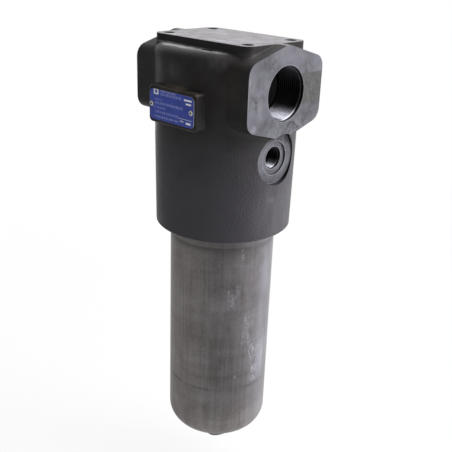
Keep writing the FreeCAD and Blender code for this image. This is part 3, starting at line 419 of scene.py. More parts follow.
faceLook = {
    "grey": (0.1, 0.099, 0.12), "pale": (0.168, 0.166, 0.196), "band": (0.056, 0.054, 0.052),
    "fleck": (0.2, 0.195, 0.16), "stain": (0.04, 0.04, 0.045), "paleRubAndHighlight": (0.34, 0.34, 0.38),
    "cut": (0.075, 0.075, 0.085), "metallic": 0.25, "rough": (0.38, 0.54), "cutScale": 1100.0,
    "blotch": (150.0, 5.0, 0.65, 0.8), "broad": (45.0, 4.0, 0.6, 0.5), "flecks": (480.0, 3.0),
    # stained spots share one strength; the four about the indicator, 60 to 61 mm out, are painted shade in its recess
    "stainsAndRecessShade": [
        (70, -22, -14, 9, 26, 16), (70, 2, -70, 9, 24, 12), (70, -38, -40, 9, 16, 24), (70, -20, -66, 9, 26, 10),
        (70, 20, -68, 9, 18, 14), (70, 24, -20, 9, 16, 10), (61, -6, -114, 5, 18, 12), (61, 14, -92, 5, 12, 18),
        (61, 0, -84, 5, 20, 8), (60, 0, -100, 3, 17, 17), (70, 10, -75, 9, 26, 9), (70, 38, -58, 9, 14, 13),
        (70, 14, -66, 9, 30, 12),
    ], "stainStrength": 0.9,
    # pale rubbed spots; those along the face's left edge and its lower-left corner are painted edge highlights
    "rubbedAndHighlight": [
        (70, -41, -66, 8, 7, 6, 0.8), (70, -49.6, -42, 8, 1.1, 26, 0.8), (70, -48, -24, 8, 4, 8, 0.5),
        (70, -34, -48, 8, 5, 16, 0.35), (70, -2, -10, 8, 26, 8, 0.2),
    ],
    # painted highlights on the rims of the cuts: face, axis level, radius
    "rimHighlights": [
        (portFace, portLevel, 24.5), (spotFace, indicatorLevel, 23.7), (spotFace, indicatorLevel, 15.8),
        (59.5, indicatorLevel, 10.7),
    ],
}


def turnedFaceMaterial():
    # port and spot faces: bluish grey, fine rings about the bore, dark stains, and a dull brown band beside it;
    # painted highlights on the rims and the left edge, painted shade in the indicator's recess
    look = faceLook
    place = startMaterial("turnedFace", look["metallic"])
    x, y, z = split(place)
    away = absolute(x)
    # the spot face turns about its own bore, so the axis level depends on how far out the face lies
    axis = measured(away, 64, 66, -indicatorLevel * mm, -portLevel * mm)
    ring = reachOf(y, total(z, axis))
    cut = lineNoise(ring, look["cutScale"])
    blotch, broad = noise(place, *look["blotch"]), noise(place, *look["broad"])
    colour = mixed(span(broad, 0.34, 0.64), look["grey"], look["pale"])
    # the band crosses the face from 25 to 53 mm below the mounting face, its upper edge crisp
    band = product(eased(z, -26.5, -24.5, 1.0, 0.0), eased(z, -57, -50), eased(y, 10, 22))
    colour = mixed(product(band, span(blotch, 0.25, 0.6, 0.45, 1.0)), colour, look["band"])
    flecks = product(band, span(noise(place, *look["flecks"]), 0.5, 0.72), 0.45)
    colour = mixed(flecks, colour, look["fleck"])
    stainsAndRecessShade = [(*spot, look["stainStrength"]) for spot in look["stainsAndRecessShade"]]
    colour = marked(place, colour, stainsAndRecessShade, look["stain"], span(blotch, 0.44, 0.6))
    # pale rubbed spots and painted edge highlights
    colour = marked(place, colour, look["rubbedAndHighlight"], look["paleRubAndHighlight"], span(blotch, 0.34, 0.58))
    # painted highlights along the rims of the cuts
    for face, level, radius in look["rimHighlights"]:
        off = absolute(calc("SUBTRACT", ring, radius * mm))
        rim = product(measured(off, 0.2, 0.5, 1.0, 0.0), calc("COMPARE", away, face * mm, 0.4 * mm),
                      calc("COMPARE", axis, -level * mm, mm), 0.55)
        colour = mixed(rim, colour, look["paleRubAndHighlight"])
    colour = mixed(span(cut, 0.35, 0.8, 0.0, 0.28), colour, look["cut"])
    rough = span(blotch, 0.3, 0.7, *look["rough"])
    return finished(colour, rough, weighed((cut, 0.5), (blotch, 0.5)), 0.2, 0.06)


# the bored and crest tones are very dark as painted shade inside the bores; the lightened tone is painted light on the
# lower crests
wallLook = {
    "bored": ((0.03, 0.03, 0.033), (0.055, 0.055, 0.06)), "boredRough": (0.35, 0.5), "stain": (90.0, 3.0),
    "cored": ((0.034, 0.034, 0.037), (0.058, 0.057, 0.06)), "coredRough": (0.6, 0.8), "sand": (700.0, 4.0, 0.6),
    "crest": ((0.015, 0.015, 0.017), (0.034, 0.034, 0.038)), "crestRough": (0.25, 0.38), "film": (160.0, 3.0),
    "lightened": (0.12, 0.12, 0.137), "portLitLevels": (-54.5, -59), "indicatorLitLevels": (-103.5, -106.5),
}


def boredWallMaterial():
    # bores and threads: very dark, as painted shade inside them, with fine rings of the tool
    place = startMaterial("boredWall", 1.0)
    shade = span(noise(place, *wallLook["stain"]), 0.3, 0.7)
    rough = span(shade, 0.0, 1.0, *wallLook["boredRough"])
    rings = noise(stretched(place, (900, 60, 900)), 1.0, 2.0)
    return finished(mixed(shade, *wallLook["bored"]), rough, rings, 0.15, 0.05)


def coredWallMaterial():
    # cast passages: nearly black, sandy
    sand = noise(startMaterial("coredWall", specular=0.2), *wallLook["sand"])
    rough = span(sand, 0.3, 0.7, *wallLook["coredRough"])
    return finished(mixed(sand, *wallLook["cored"]), rough, sand, 0.5, 0.3)


def threadCrestMaterial():
    # cut crests: dark as painted shade inside the bores, with painted light on the lower crests near each mouth
    place = startMaterial("threadCrest", 1.0)
    z = split(place)[2]
    shade = span(noise(place, *wallLook["film"]), 0.3, 0.7)
    # painted light on the lower crests of each thread
    low = calc("MAXIMUM", product(eased(z, *wallLook["portLitLevels"]), measured(z, -75, -70)),
               eased(z, *wallLook["indicatorLitLevels"]))
    colour = mixed(low, mixed(shade, *wallLook["crest"]), wallLook["lightened"])
    rough = span(shade, 0.0, 1.0, *wallLook["crestRough"])
    return finished(colour, rough, noise(place, 1800.0, 2.0), 0.1, 0.03)


bowlLook = {
    "coat": (0.12, 0.109, 0.11), "coatPale": (0.235, 0.221, 0.237),
    "left": (0.222, 0.2, 0.192), "leftPale": (0.415, 0.388, 0.384), "land": (0.225, 0.215, 0.228),
    "scuff": (0.52, 0.52, 0.58), "spot": (0.055, 0.051, 0.05), "wearAndSheen": (0.38, 0.38, 0.47), "pale": (0.56, 0.58, 0.68),
    "metallic": 0.5, "rough": (0.38, 0.5),
    "runs": (1.0, 5.0, 0.66, 0.15), "runsStretch": (330, 330, 11), "broadRuns": (1.0, 3.0, 0.6, 0.3),
    "broadRunsStretch": (60, 60, 8), "cloud": (34.0, 6.0, 0.62, 0.5), "fine": (620.0, 3.0, 0.65),
    "rings": (1.0, 2.0), "ringsStretch": (3, 3, 2600), "bands": (1.0, 3.0, 0.6), "bandsStretch": (12, 12, 160),
    "flecks": (1.0, 4.0, 0.7, 1.0), "flecksStretch": (420, 420, 170),
    # shares of the patterns in the coat's tone
    "shares": {"runs": 0.24, "broadRuns": 0.16, "cloud": 0.3, "fine": 0.2, "bands": 0.10},
    "lightened": [
        (50, 12, -318, 12, 15, 36, 0.4), (50, 12, -225, 12, 13, 30, 0.15),
    ],
    "scuffs": [
        (43, -29, -243, 10, 10, 17, 0.6), (46, -24, -232, 4, 4, 10, 0.7), (50.5, -10, -268, 8, 12, 14, 0.35),
        (49, -16, -286, 5, 7, 20, 0.4), (51, -5, -306, 7, 10, 26, 0.7), (51.5, -1, -332, 7, 10, 16, 0.8),
        (47.4, -20.8, -194.8, 3, 3, 9, 0.8), (46.3, -23, -331.3, 2.6, 2.6, 3.4, 0.9), (51.5, 4, -312, 9, 15, 50, 0.4),
        (31, -41.5, -386, 5, 4, 4, 0.5), (20, -47.7, -262, 2, 2, 3, 0.5), (37, -36, -352, 12, 12, 8, 0.2),
        (-8, -51, -372, 20, 6, 12, 0.16),
    ],
    # thin pale scratches: from, to
    "scratches": [
        ((40.4, -32.3, -231), (45.5, -24.5, -262)), ((43.5, -28.0, -236), (47.0, -21.5, -258)),
        ((49.2, -15.8, -262), (51.0, -8.0, -302)), ((50.4, -11.5, -290), (51.7, -2.5, -334)),
    ],
    "scratchHalf": (0.15, 0.5), "scratchFade": 3.0, "scratchBend": 2.2, "heldLevel": -347.5,
}


def bowlMaterial():
    # phosphated and oiled turned steel: upright runs on a cloudy coat, browner and paler on the left, the paler part
    # painted light, worn and with a painted sheen on the right, with scratches, scuffs of short upright flecks, and a
    # darker ring where it was held
    look = bowlLook
    place = startMaterial("bowlSteel", look["metallic"])
    x, y, z = split(place)
    pattern = {name: noise(place, *look[name]) for name in ("cloud", "fine")}
    for name in ("runs", "broadRuns", "rings", "bands", "flecks"):
        pattern[name] = noise(stretched(place, look[name + "Stretch"]), *look[name])
    cloud, broadRuns, flecks = pattern["cloud"], pattern["broadRuns"], pattern["flecks"]
    tone = weighed(*((pattern[name], share) for name, share in look["shares"].items()))
    shade = span(tone, 0.42, 0.6)
    colour = mixed(shade, look["coat"], look["coatPale"])
    left = mixed(shade, look["left"], look["leftPale"])
    # browner on the left, and paler there as painted light
    colour = mixed(eased(x, 46, 4, 0.0, 0.85), colour, left)
    colour = mixed(eased(z, -345, -400, 0.0, 0.65), colour, left)
    # a bluish strip on the right side is wear with a painted sheen
    sheenAndWearSide = product(eased(y, -20, 12, 0.0, 0.22), measured(x, 0, 30), span(broadRuns, 0.35, 0.6, 0.3, 1.0))
    colour = mixed(sheenAndWearSide, colour, look["wearAndSheen"])
    colour = marked(place, colour, look["lightened"], look["pale"], span(broadRuns, 0.35, 0.6, 0.4, 1.0))
    # the hexagon is darker
    colour = mixed(measured(z, -410, -412.5, 0.0, 0.45), colour, look["coat"])
    # the machined land under the head is cleaner, and below its step the colour darkens as painted shade
    land = measured(z, -187.35, -187.25)
    colour = mixed(product(land, eased(z, -183.5, -179, 0.25, 0.9)), colour, look["land"])
    under = product(eased(z, -196.5, -187.4, 0.0, 0.5), restOf(land), span(cloud, 0.3, 0.6, 0.5, 1.0))
    colour = mixed(under, colour, look["spot"])
    colour = marked(place, colour, look["scuffs"], look["scuff"], span(flecks, 0.46, 0.66))
    # a scratch is where the distance from the line through its two ends, bent by the noise, is nearly nothing
    bend = span(cloud, 0.3, 0.7, -look["scratchBend"] * mm, look["scratchBend"] * mm)
    for start, end in look["scratches"]:
        start, end = np.array(start), np.array(end)
        reach = float(np.linalg.norm(end - start))
        heading, fade = (end - start) / reach, look["scratchFade"]
        offset = vectorCalc("SUBTRACT", place, start * mm)[0]
        along = vectorCalc("DOT_PRODUCT", offset, heading)["Value"]
        nearest = vectorCalc("SCALE", heading, Scale=along)[0]
        apart = vectorCalc("LENGTH", vectorCalc("SUBTRACT", offset, nearest)[0])["Value"]
        off = absolute(total(apart, bend))
        line = product(measured(off, *look["scratchHalf"], 1.0, 0.0), measured(along, 0, fade),
                       measured(along, reach - fade, reach, 1.0, 0.0), span(flecks, 0.36, 0.56, 0.0, 0.5))
        colour = mixed(line, colour, look["scuff"])
    off = absolute(total(z, -look["heldLevel"] * mm, product(broadRuns, -2 * mm)))
    held = product(eased(off, 0.3, 3.2, 0.5, 0.0), span(broadRuns, 0.42, 0.6, 0.25, 1.0))
    colour = mixed(held, colour, look["spot"])
    relief = weighed((pattern["rings"], 0.4), (pattern["fine"], 0.8))
    return finished(colour, span(tone, 0.42, 0.66, *look["rough"]), relief, 0.2, 0.08)


plateLook = {
    "blue": (0.038, 0.061, 0.31), "ink": (0.38, 0.42, 0.74), "white": (0.8, 0.82, 0.88), "cut": (0.45, 0.46, 0.5),
    "specular": 0.35, "rough": (0.36, 0.48), "cloud": (110.0, 3.0), "dashScale": 900.0, "soft": 0.15,
    # plain lines of print: level, from x, to x, height, strength, dashed or one solid bar
    "lines": [
        (-43.2, -14.5, 6.0, 2.2, 0.75, True), (-46.0, -14.5, 12.5, 2.2, 0.6, True),
        (-51.0, -22.2, -11.7, 1.3, 0.55, True), (-54.3, -20.9, 15.1, 2.2, 0.55, True),
        (-58.2, -22.3, -7.7, 1.3, 0.6, True), (-62.2, -21.0, 9.0, 1.9, 0.5, True),
        (-66.4, -22.4, 9.0, 1.6, 0.6, True), (-46.2, 16.2, 25.6, 1.5, 0.95, False),
        (-49.4, 18.4, 24.9, 1.4, 1.0, False), (-62.9, 9.0, 26.0, 0.5, 0.6, False),
        (-66.0, 18.6, 24.6, 1.9, 0.9, False), (-65.2, 11.5, 15.8, 1.2, 0.6, False),
    ],
    # a square ring: middle x, level, width, height; its hole
    "square": (-19.4, -44.4, 6.4, 5.4), "hole": (-19.4, -44.4, 2.6, 2.6), "squareStrength": 0.8,
}


def plateMaterial():
    # printed sheet: saturated blue with rows of plain pale dashes and one pale square, all generic
    look = plateLook
    place = startMaterial("plateBlue", specular=look["specular"])
    x, y, z = split(place)
    shade = span(noise(place, *look["cloud"]), 0.3, 0.7)
    colour = mixed(shade, look["blue"], [c * 1.35 for c in look["blue"]])

    def box(middleX, middleZ, width, height):
        # 1 inside a rectangle of the plate, with a narrow soft edge
        sides = []
        for value, middle, half in ((x, middleX, width / 2), (z, middleZ, height / 2)):
            off = absolute(calc("SUBTRACT", value, middle * mm))
            sides.append(measured(off, half - look["soft"], half + look["soft"], 1.0, 0.0))
        return product(*sides)

    for number, (level, start, end, height, strength, dashed) in enumerate(look["lines"]):
        ink = box((start + end) / 2, level, end - start, height)
        if dashed:
            ink = product(ink, span(lineNoise(x, look["dashScale"], 1.0, 0.37 * number), 0.46, 0.54))
        colour = mixed(product(ink, strength), colour, look["ink" if dashed else "white"])
    ring = product(calc("SUBTRACT", box(*look["square"]), box(*look["hole"])), look["squareStrength"])
    colour = mixed(ring, colour, look["white"])
    # bare metal shows where the sheet is cut
    colour = mixed(measured(y, -70.05, -69.95), colour, look["cut"])
    return finished(colour, span(shade, 0.0, 1.0, *look["rough"]), noise(place, 900.0, 2.0), 0.06, 0.03)


mediumLook = {
    "fibre": ((0.6, 0.58, 0.5), (0.78, 0.76, 0.69)), "mesh": (0.42, 0.42, 0.41), "felt": (900.0, 4.0, 0.7),
    "threads": 9000.0, "rough": 0.85, "specular": 0.2,
}


def filterMediumMaterial():
    # glass-fibre mat held by a fine wire mesh: two sets of crossing threads over felted fibre
    look = mediumLook
    place = startMaterial("filterMedium", specular=look["specular"])
    x, y, z = split(place)
    upright, level = (calc("SINE", product(value, look["threads"])) for value in (reachOf(x, y), z))
    weave = calc("MAXIMUM", level, upright)
    felt = noise(place, *look["felt"])
    colour = mixed(span(felt, 0.3, 0.7), *look["fibre"])
    colour = mixed(span(weave, 0.5, 0.95, 0.0, 0.5), colour, look["mesh"])
    return finished(colour, look["rough"], total(product(weave, 0.4), felt), 0.4, 0.08)


rivetLook = {
    "alloy": ((0.66, 0.66, 0.67), (0.86, 0.86, 0.88)), "dimpleShade": (0.012, 0.012, 0.012), "edge": (0.02, 0.02, 0.02),
    "dimple": (0.85, 1.1), "rim": (2.25, 2.4), "metallic": 0.5, "rough": (0.3, 0.45), "grain": (900.0, 3.0),
}


def rivetMaterial():
    # bright pressed heads with painted shade in the dimple and a painted shadow line round the edge
    look = rivetLook
    place = startMaterial("rivetAlloy", look["metallic"])
    x, _, z = split(place)
    side = calc("SUBTRACT", absolute(x), rivetX * mm)
    away = reachOf(side, total(z, -plateLevel * mm))
    grain = noise(place, *look["grain"])
    shade = span(grain, 0.3, 0.7)
    colour = mixed(shade, *look["alloy"])
    # painted shade in the dimple
    colour = mixed(measured(away, *look["dimple"], 1.0, 0.0), colour, look["dimpleShade"])
    # painted shadow line round the head's edge
    colour = mixed(measured(away, *look["rim"], 0.0, 0.8), colour, look["edge"])
    return finished(colour, span(shade, 0.0, 1.0, *look["rough"]), grain, 0.1, 0.03)


# plain finishes: dark and pale tone, metallic, roughness, scale of the grain and its stretch where it has one
plainLooks = {
    "turnedSteel": ((0.36, 0.36, 0.37), (0.52, 0.52, 0.53), 0.9, 0.32, 1.0, (90, 90, 2400)),
    "tinnedSteel": ((0.5, 0.5, 0.48), (0.66, 0.66, 0.63), 0.85, 0.3, 260.0),
    "springSteel": ((0.3, 0.3, 0.31), (0.46, 0.46, 0.47), 0.9, 0.3, 700.0),
    "sealCopper": ((0.6, 0.3, 0.19), (0.74, 0.43, 0.29), 0.9, 0.35, 500.0),
    "sealRubber": ((0.018, 0.018, 0.019), (0.034, 0.034, 0.035), 0.0, 0.5, 900.0),
    "pottingResin": ((0.085, 0.085, 0.092), (0.14, 0.14, 0.15), 0.0, 0.38, 240.0),
    "backupPlastic": ((0.74, 0.73, 0.68), (0.86, 0.85, 0.81), 0.0, 0.42, 500.0),
}


def plainMaterial(name, dark, pale, metallic, rough, grainScale, stretch=(1, 1, 1)):
    # two tones of one material in soft clouds, over fine grain that may be drawn out along an axis
    place = startMaterial(name, metallic)
    grain = noise(stretched(place, stretch), grainScale, 3.0, 0.6)
    shade = span(weighed((noise(place, 70.0, 3.0, 0.55), 0.6), (grain, 0.4)), 0.35, 0.65)
    rough = span(shade, 0.0, 1.0, rough - 0.06, rough + 0.08)
    return finished(mixed(shade, dark, pale), rough, grain, 0.12, 0.04)


materials = {
    "castSkin": castSkinMaterial(), "milledTop": milledTopMaterial(), "turnedFace": turnedFaceMaterial(),
    "boredWall": boredWallMaterial(), "coredWall": coredWallMaterial(), "threadCrest": threadCrestMaterial(),
    "bowlSteel": bowlMaterial(), "plateBlue": plateMaterial(), "filterMedium": filterMediumMaterial(),
    "rivetAlloy": rivetMaterial(),
}
materials.update({name: plainMaterial(name, *look) for name, look in plainLooks.items()})
print("materials made:", len(materials))


# head
# radii and reaches that catch each machined face of the solid, a little past its own size
headCuts = {
    "spotReach": 59.4, "spotRadius": 24.05, "spotTop": -76.0, "recessRadius": 24.3, "recessReach": 44.0,
    "portReach": 69.9, "portRadius": 24.6, "portDepth": 39.9, "portMouth": 69.95, "passageRadius": 19.3,
    "passageReach": 40.2, "boreRadius": 51.5, "boreTop": -80.5, "chamberRadius": 44.5, "chamberFoot": -81.5,
    "rimLevel": -175.95, "holeRadius": 5.4, "holeFoot": -18.5, "topLevel": -0.05,
    # least cosine of a face that looks an axis's way, and most of one that lies along it
    "facing": 0.9, "along": 0.5, "mergeReach": 0.001, "crease": 28,
}


def dressedHead():
    # a merged copy of the head's own solid, with each machined face found by its place and heading
    mesh = nodes["head_casting"].data.copy()
    mesh.name = "head_dressed"
    if "custom_normal" in mesh.attributes:
        mesh.attributes.remove(mesh.attributes["custom_normal"])
    work = bmesh.new()
    work.from_mesh(mesh)
    bmesh.ops.remove_doubles(work, verts=work.verts, dist=headCuts["mergeReach"] * mm)
    work.to_mesh(mesh)
    work.free()
    count = len(mesh.polygons)
    centres, normals = np.empty(count * 3), np.empty(count * 3)
    mesh.polygons.foreach_get("center", centres)
    mesh.polygons.foreach_get("normal", normals)
    x, y, z = (centres.reshape(-1, 3) / mm).T
    nx, ny, nz = normals.reshape(-1, 3).T
    away, cut, facing = np.abs(x), headCuts, headCuts["facing"]
    fromAxis, fromPort, fromIndicator = np.hypot(x, y), np.hypot(y, z - portLevel), np.hypot(y, z - indicatorLevel)
    fromHole = np.hypot(away - holeX, np.abs(y) - holeY)
    inwards = (ny * y + nz * (z - indicatorLevel) < 0) & (np.abs(nx) < cut["along"])
    milled, turned, bored, cored = 1, 2, 3, 4
    finish = np.zeros(count, np.int32)
    finish[(z > cut["topLevel"]) & (nz > facing)] = milled
    finish[(away > cut["portReach"]) & (np.abs(nx) > facing)] = turned
    finish[(x > cut["spotReach"]) & (fromIndicator < cut["spotRadius"]) & (nx > facing) & (z < cut["spotTop"])] = turned
    finish[(fromIndicator < cut["recessRadius"]) & (x > cut["recessReach"]) & inwards] = bored
    finish[(fromPort < cut["portRadius"]) & (away > cut["portDepth"]) & (away < cut["portMouth"])] = bored
    finish[(fromPort < cut["passageRadius"]) & (away < cut["passageReach"])] = cored
    finish[(fromAxis < cut["boreRadius"]) & (z < cut["boreTop"])] = bored
    finish[(fromAxis < cut["chamberRadius"]) & (z < portLevel) & (z > cut["chamberFoot"])] = cored
    finish[z < cut["rimLevel"]] = bored
    finish[(fromHole < cut["holeRadius"]) & (z > cut["holeFoot"]) & (z < cut["topLevel"])] = bored
    for name in ("castSkin", "milledTop", "turnedFace", "boredWall", "coredWall"):
        mesh.materials.append(materials[name])
    mesh.materials.pop(index=0)
    mesh.polygons.foreach_set("material_index", finish)
    mesh.shade_smooth()
    mesh.set_sharp_from_angle(angle=math.radians(cut["crease"]))
    head = addObject("head_dressed", mesh)
    shading = head.modifiers.new("evenNormals", "WEIGHTED_NORMAL")
    shading.keep_sharp = True
    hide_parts("head_casting")
    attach(head, "head")
    return head


head = dressedHead()
print("head dressed:", len(head.data.polygons), "faces")

# threads: radius at the root and crest, pitch, width of the ridge in pitches, level of its start and its length
portThread = {"root": 23.9, "crest": 22.42, "pitch": 2.309, "width": 0.98, "start": 41.3, "length": 27.0,
              "steps": 96, "phase": 0.0}
indicatorThread = {"root": 10.0, "crest": 9.19, "pitch": 1.5, "width": 0.98, "start": 46.4, "length": 11.8,
                   "steps": 64, "phase": 0.6}
boltThread = {"root": 5.0, "crest": 4.27, "pitch": 1.5, "width": 0.98, "start": -17.0, "length": 15.9,
              "steps": 48, "phase": 0.0}
bowlThread = {"root": 50.0, "crest": 48.42, "pitch": 3.0, "width": 0.87, "start": -174.6, "length": 37.2,
              "steps": 144, "phase": 0.0}
boltCentres = [(sideX * holeX, sideY * holeY, 0) for sideX in (-1, 1) for sideY in (-1, 1)]
for name, thread, axis, centres, finish in (
        ("outlet_thread", portThread, "x", [(0, 0, portLevel)], "threadCrest"),
        ("inlet_thread", portThread, "-x", [(0, 0, portLevel)], "threadCrest"),
        ("indicator_thread", indicatorThread, "x", [(0, 0, indicatorLevel)], "threadCrest"),
        ("bolt_threads", boltThread, "z", boltCentres, "boredWall"),
        ("head_bowl_thread", bowlThread, "z", [(0, 0, 0)], "boredWall")):
    surfacePiece(name, [threadGrid(thread, axis, centre) for centre in centres], materials[finish], "head")
print("threads cut")

# bowl: radii and levels, and the rounds of its edges
bowl = {
    "columns": 224, "boreRadius": 43.0, "floor": -400.0, "floorRound": 11.0, "noseTop": -120.0, "noseRadius": 48.0,
    "noseBevel": 1.2, "noseRound": 0.4, "neckTop": -139.0, "neckFoot": -173.0, "neckStep": 0.25, "shoulder": -176.0,
    "shoulderRound": 0.3, "landRadius": 52.0, "landRound": 0.35, "landFoot": -187.0, "footRound": 0.12,
    "radius": 51.75, "undercut": 0.15, "undercutRound": 0.2, "end": -411.0, "endRound": 20.0, "profileSteps": 16,
    "boreSteps": 10,
}
# its thread, with the head's pitch: radii, half the flat at the root, flank's angle from the radius
neckThread = {"crest": 49.9, "root": 48.1, "rootHalf": 0.2725, "flank": 30.0}


def bowlGrid():
    # the profile goes up the bore, over the nose, down the neck and the outside to the middle of the closed end;
    # between the neck's two ends its radius follows a 60 degree thread that climbs one pitch a turn
    b, thread, pitch = bowl, neckThread, bowlThread["pitch"]
    bore, nose, land, wall = b["boreRadius"], b["noseRadius"], b["landRadius"], b["radius"]
    top, bevel, neckTop, neckFoot, foot = b["noseTop"], b["noseBevel"], b["neckTop"], b["neckFoot"], b["landFoot"]
    noseRound, under, ease = b["noseRound"], wall - b["undercut"], b["undercutRound"]
    inside = roundedProfile([(0, b["floor"]), (bore, b["floor"], b["floorRound"]), (bore, top, noseRound),
                             (nose - bevel, top, noseRound), (nose, top - bevel, noseRound), (nose, neckTop)],
                            b["boreSteps"])
    levels = np.arange(neckTop - 0.02, neckFoot, -b["neckStep"])
    neck = np.stack([np.full(len(levels), nose), levels], 1)
    # under the land the wall is turned a little smaller, and widens again over a third of a millimetre
    outside = roundedProfile([(nose, neckFoot), (nose, b["shoulder"], b["shoulderRound"]),
                              (land, b["shoulder"], b["landRound"]), (land, foot, b["footRound"]),
                              (under, foot - 0.4, ease), (under, foot - 1.0, ease), (wall, foot - 1.35, ease),
                              (wall, b["end"], b["endRound"]), (0, b["end"])], b["profileSteps"])
    profile = np.concatenate([inside, neck, outside])
    radius, level = profile[:, 0][:, None], profile[:, 1][:, None]
    angle = np.linspace(0, 2 * math.pi, b["columns"], endpoint=False)[None, :]
    # distance from the middle of the nearest groove, which faces the head's ridge and climbs with the angle
    along = (level - bowlThread["start"]) / pitch - angle / (2 * math.pi)
    apart = np.abs(along - np.round(along)) * pitch
    rise = (apart - thread["rootHalf"]) / math.tan(math.radians(thread["flank"]))
    flank = thread["root"] + np.clip(rise, 0, thread["crest"] - thread["root"])
    # the thread grows out of the plain neck at both ends
    run = np.minimum(neckTop - level, level - neckFoot)
    threaded = np.minimum(flank, nose + np.maximum(run, 0))
    return placeAlong(np.where((run > 0) & (radius == nose), threaded, radius), angle, level, "z")


# hexagon: across the flats, free end, what its corners lose, the cone turned on it, and the round at its root as
# levels above the dome's end with their gain in radius
hexagon = {"flats": 24.0, "tip": -435.0, "cornerLoss": 0.12, "coneHeight": 1.15, "coneAngle": 30.0, "tipInset": 0.05,
           "rootRows": [(0.4, 1.1), (0.0, 1.1), (-0.25, 0.62), (-0.6, 0.28), (-1.1, 0.0)], "columns": 144, "rows": 8}


def hexagonGrid():
    # at each angle the radius is half the flats over the cosine from the nearest flat's middle, cut by the cone
    h, end = hexagon, bowl["end"]
    angle = np.arange(h["columns"]) * (2 * math.pi / h["columns"])
    wrapped = (angle % (math.pi / 3)) - math.pi / 6
    flat = h["flats"] / 2
    across = np.minimum(flat / np.cos(wrapped), flat / math.cos(math.pi / 6) - h["cornerLoss"])[None, :]
    root = np.array(h["rootRows"])
    levels = np.concatenate([end + root[:, 0], np.linspace(end - 3, h["tip"] + 2, h["rows"]),
                             h["tip"] + np.linspace(h["coneHeight"], 0, h["rows"])])[:, None]
    gain = np.concatenate([root[:, 1], np.zeros(2 * h["rows"])])[:, None]
    cone = flat - h["tipInset"] + (levels - h["tip"]) / math.tan(math.radians(h["coneAngle"]))
    radius = np.minimum(across + gain, cone)
    # both ends close to a pole
    radius = np.concatenate([radius[:1] * 0, radius, radius[-1:] * 0.5, radius[-1:] * 0])
    levels = np.concatenate([levels[:1], levels, levels[-1:], levels[-1:]])
    return placeAlong(radius, angle[None, :], levels, "z")


bowlPiece = surfacePiece("bowl_dressed", [bowlGrid(), hexagonGrid()], materials["bowlSteel"], "bowl",
                         ["bowl"], crease=33)
print("bowl turned:", len(bowlPiece.data.polygons), "faces")

# nameplate and rivets
plate = {"width": 56.0, "height": 27.0, "corner": 4.5, "front": -70.2, "back": -69.4, "edge": 0.18,
         "cornerSteps": 9}


def plateOutline(inset):
    # rounded rectangle: a quarter of a circle about each corner's own centre
    turn = plate["corner"] - inset
    halfX, halfZ = plate["width"] / 2 - inset - turn, plate["height"] / 2 - inset - turn
    quarter = np.linspace(0, math.pi / 2, plate["cornerSteps"])
    parts = []
    for number, (sideX, sideZ) in enumerate(((1, 1), (-1, 1), (-1, -1), (1, -1))):
        angle = quarter + number * math.pi / 2
        parts.append(np.stack([sideX * halfX + turn * np.cos(angle), sideZ * halfZ + turn * np.sin(angle)], 1))
    return np.concatenate(parts)


def plateGrid():
    # outlines one inside the other: flat front, eased edge, flat back
    rings = [(plateOutline(plate["edge"]) * share, plate["front"]) for share in (0.0, 0.5)]
    for turn in (0.0, 0.5, 1.0, math.pi / 2):
        rings.append((plateOutline(plate["edge"] * (1 - math.sin(turn))),
                      plate["front"] + plate["edge"] * (1 - math.cos(turn))))
    rings += [(plateOutline(0) * share, plate["back"]) for share in (1.0, 0.0)]
    return np.stack([np.column_stack([ring[:, 0], np.full(len(ring), depth), ring[:, 1] + plateLevel])
                     for ring, depth in rings])


surfacePiece("nameplate_sheet", [plateGrid()], materials["plateBlue"], "head", ["nameplate"])

# the rivet's levels are measured along -y; its head is domed over a rim and has a dimple
rivet = {"seat": 70.2, "length": 6.0, "shank": 1.25, "shankRound": 0.3, "head": 2.4, "rim": 0.35, "rimRound": 0.1,
         "domeRound": 0.2, "crown": 1.7, "crownRound": 0.5, "height": 1.0, "dimple": 0.85, "dimpleTaper": 0.2,
         "dimpleRound": 0.15, "depth": 0.5, "columns": 40}


def rivetGrid(middleX):
    # from the shank's end over the head into the dimple's middle
    r, seat = rivet, rivet["seat"]
    foot, top, dimpleRound = seat - r["length"], seat + r["height"], r["dimpleRound"]
    floor = top - r["depth"]
    profile = [(0, foot), (r["shank"], foot, r["shankRound"]), (r["shank"], seat), (r["head"], seat, r["rimRound"]),
               (r["head"], seat + r["rim"], r["domeRound"]), (r["crown"], top, r["crownRound"]),
               (r["dimple"], top, dimpleRound), (r["dimple"] - r["dimpleTaper"], floor, dimpleRound), (0, floor)]
    return turnedGrid(roundedProfile(profile, 4), r["columns"], "-y", (middleX, 0, plateLevel))


surfacePiece("rivets_pressed", [rivetGrid(-rivetX), rivetGrid(rivetX)], materials["rivetAlloy"], "head",
             ["nameplate_rivets"])
print("nameplate riveted")

# springs and pleats
supportSpring = {"radius": 16.5, "wire": 1.4, "turns": 5.0, "start": -397.0, "end": -363.0, "steps": 64}
bypassSpring = {"radius": 6.2, "wire": 0.9, "turns": 6.5, "start": -6.0, "end": 12.5, "steps": 56}
spring = surfacePiece("support_spring_coil", [coilGrid(supportSpring, "z", (0, 0, 0))], materials["springSteel"], "",
                      ["element_spring"])
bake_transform(spring)
valveSpring = surfacePiece("bypass_spring_coil", [coilGrid(bypassSpring, "x", (0, 0, portLevel))],
                           materials["springSteel"], "", ["bypass_spring"])
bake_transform(valveSpring)

pleats = {"folds": 48, "inner": 26.95, "outer": 37.35, "sheet": 0.66, "low": -360.0, "high": -94.0, "points": 20,
          "sharpness": 0.97, "rows": 7}


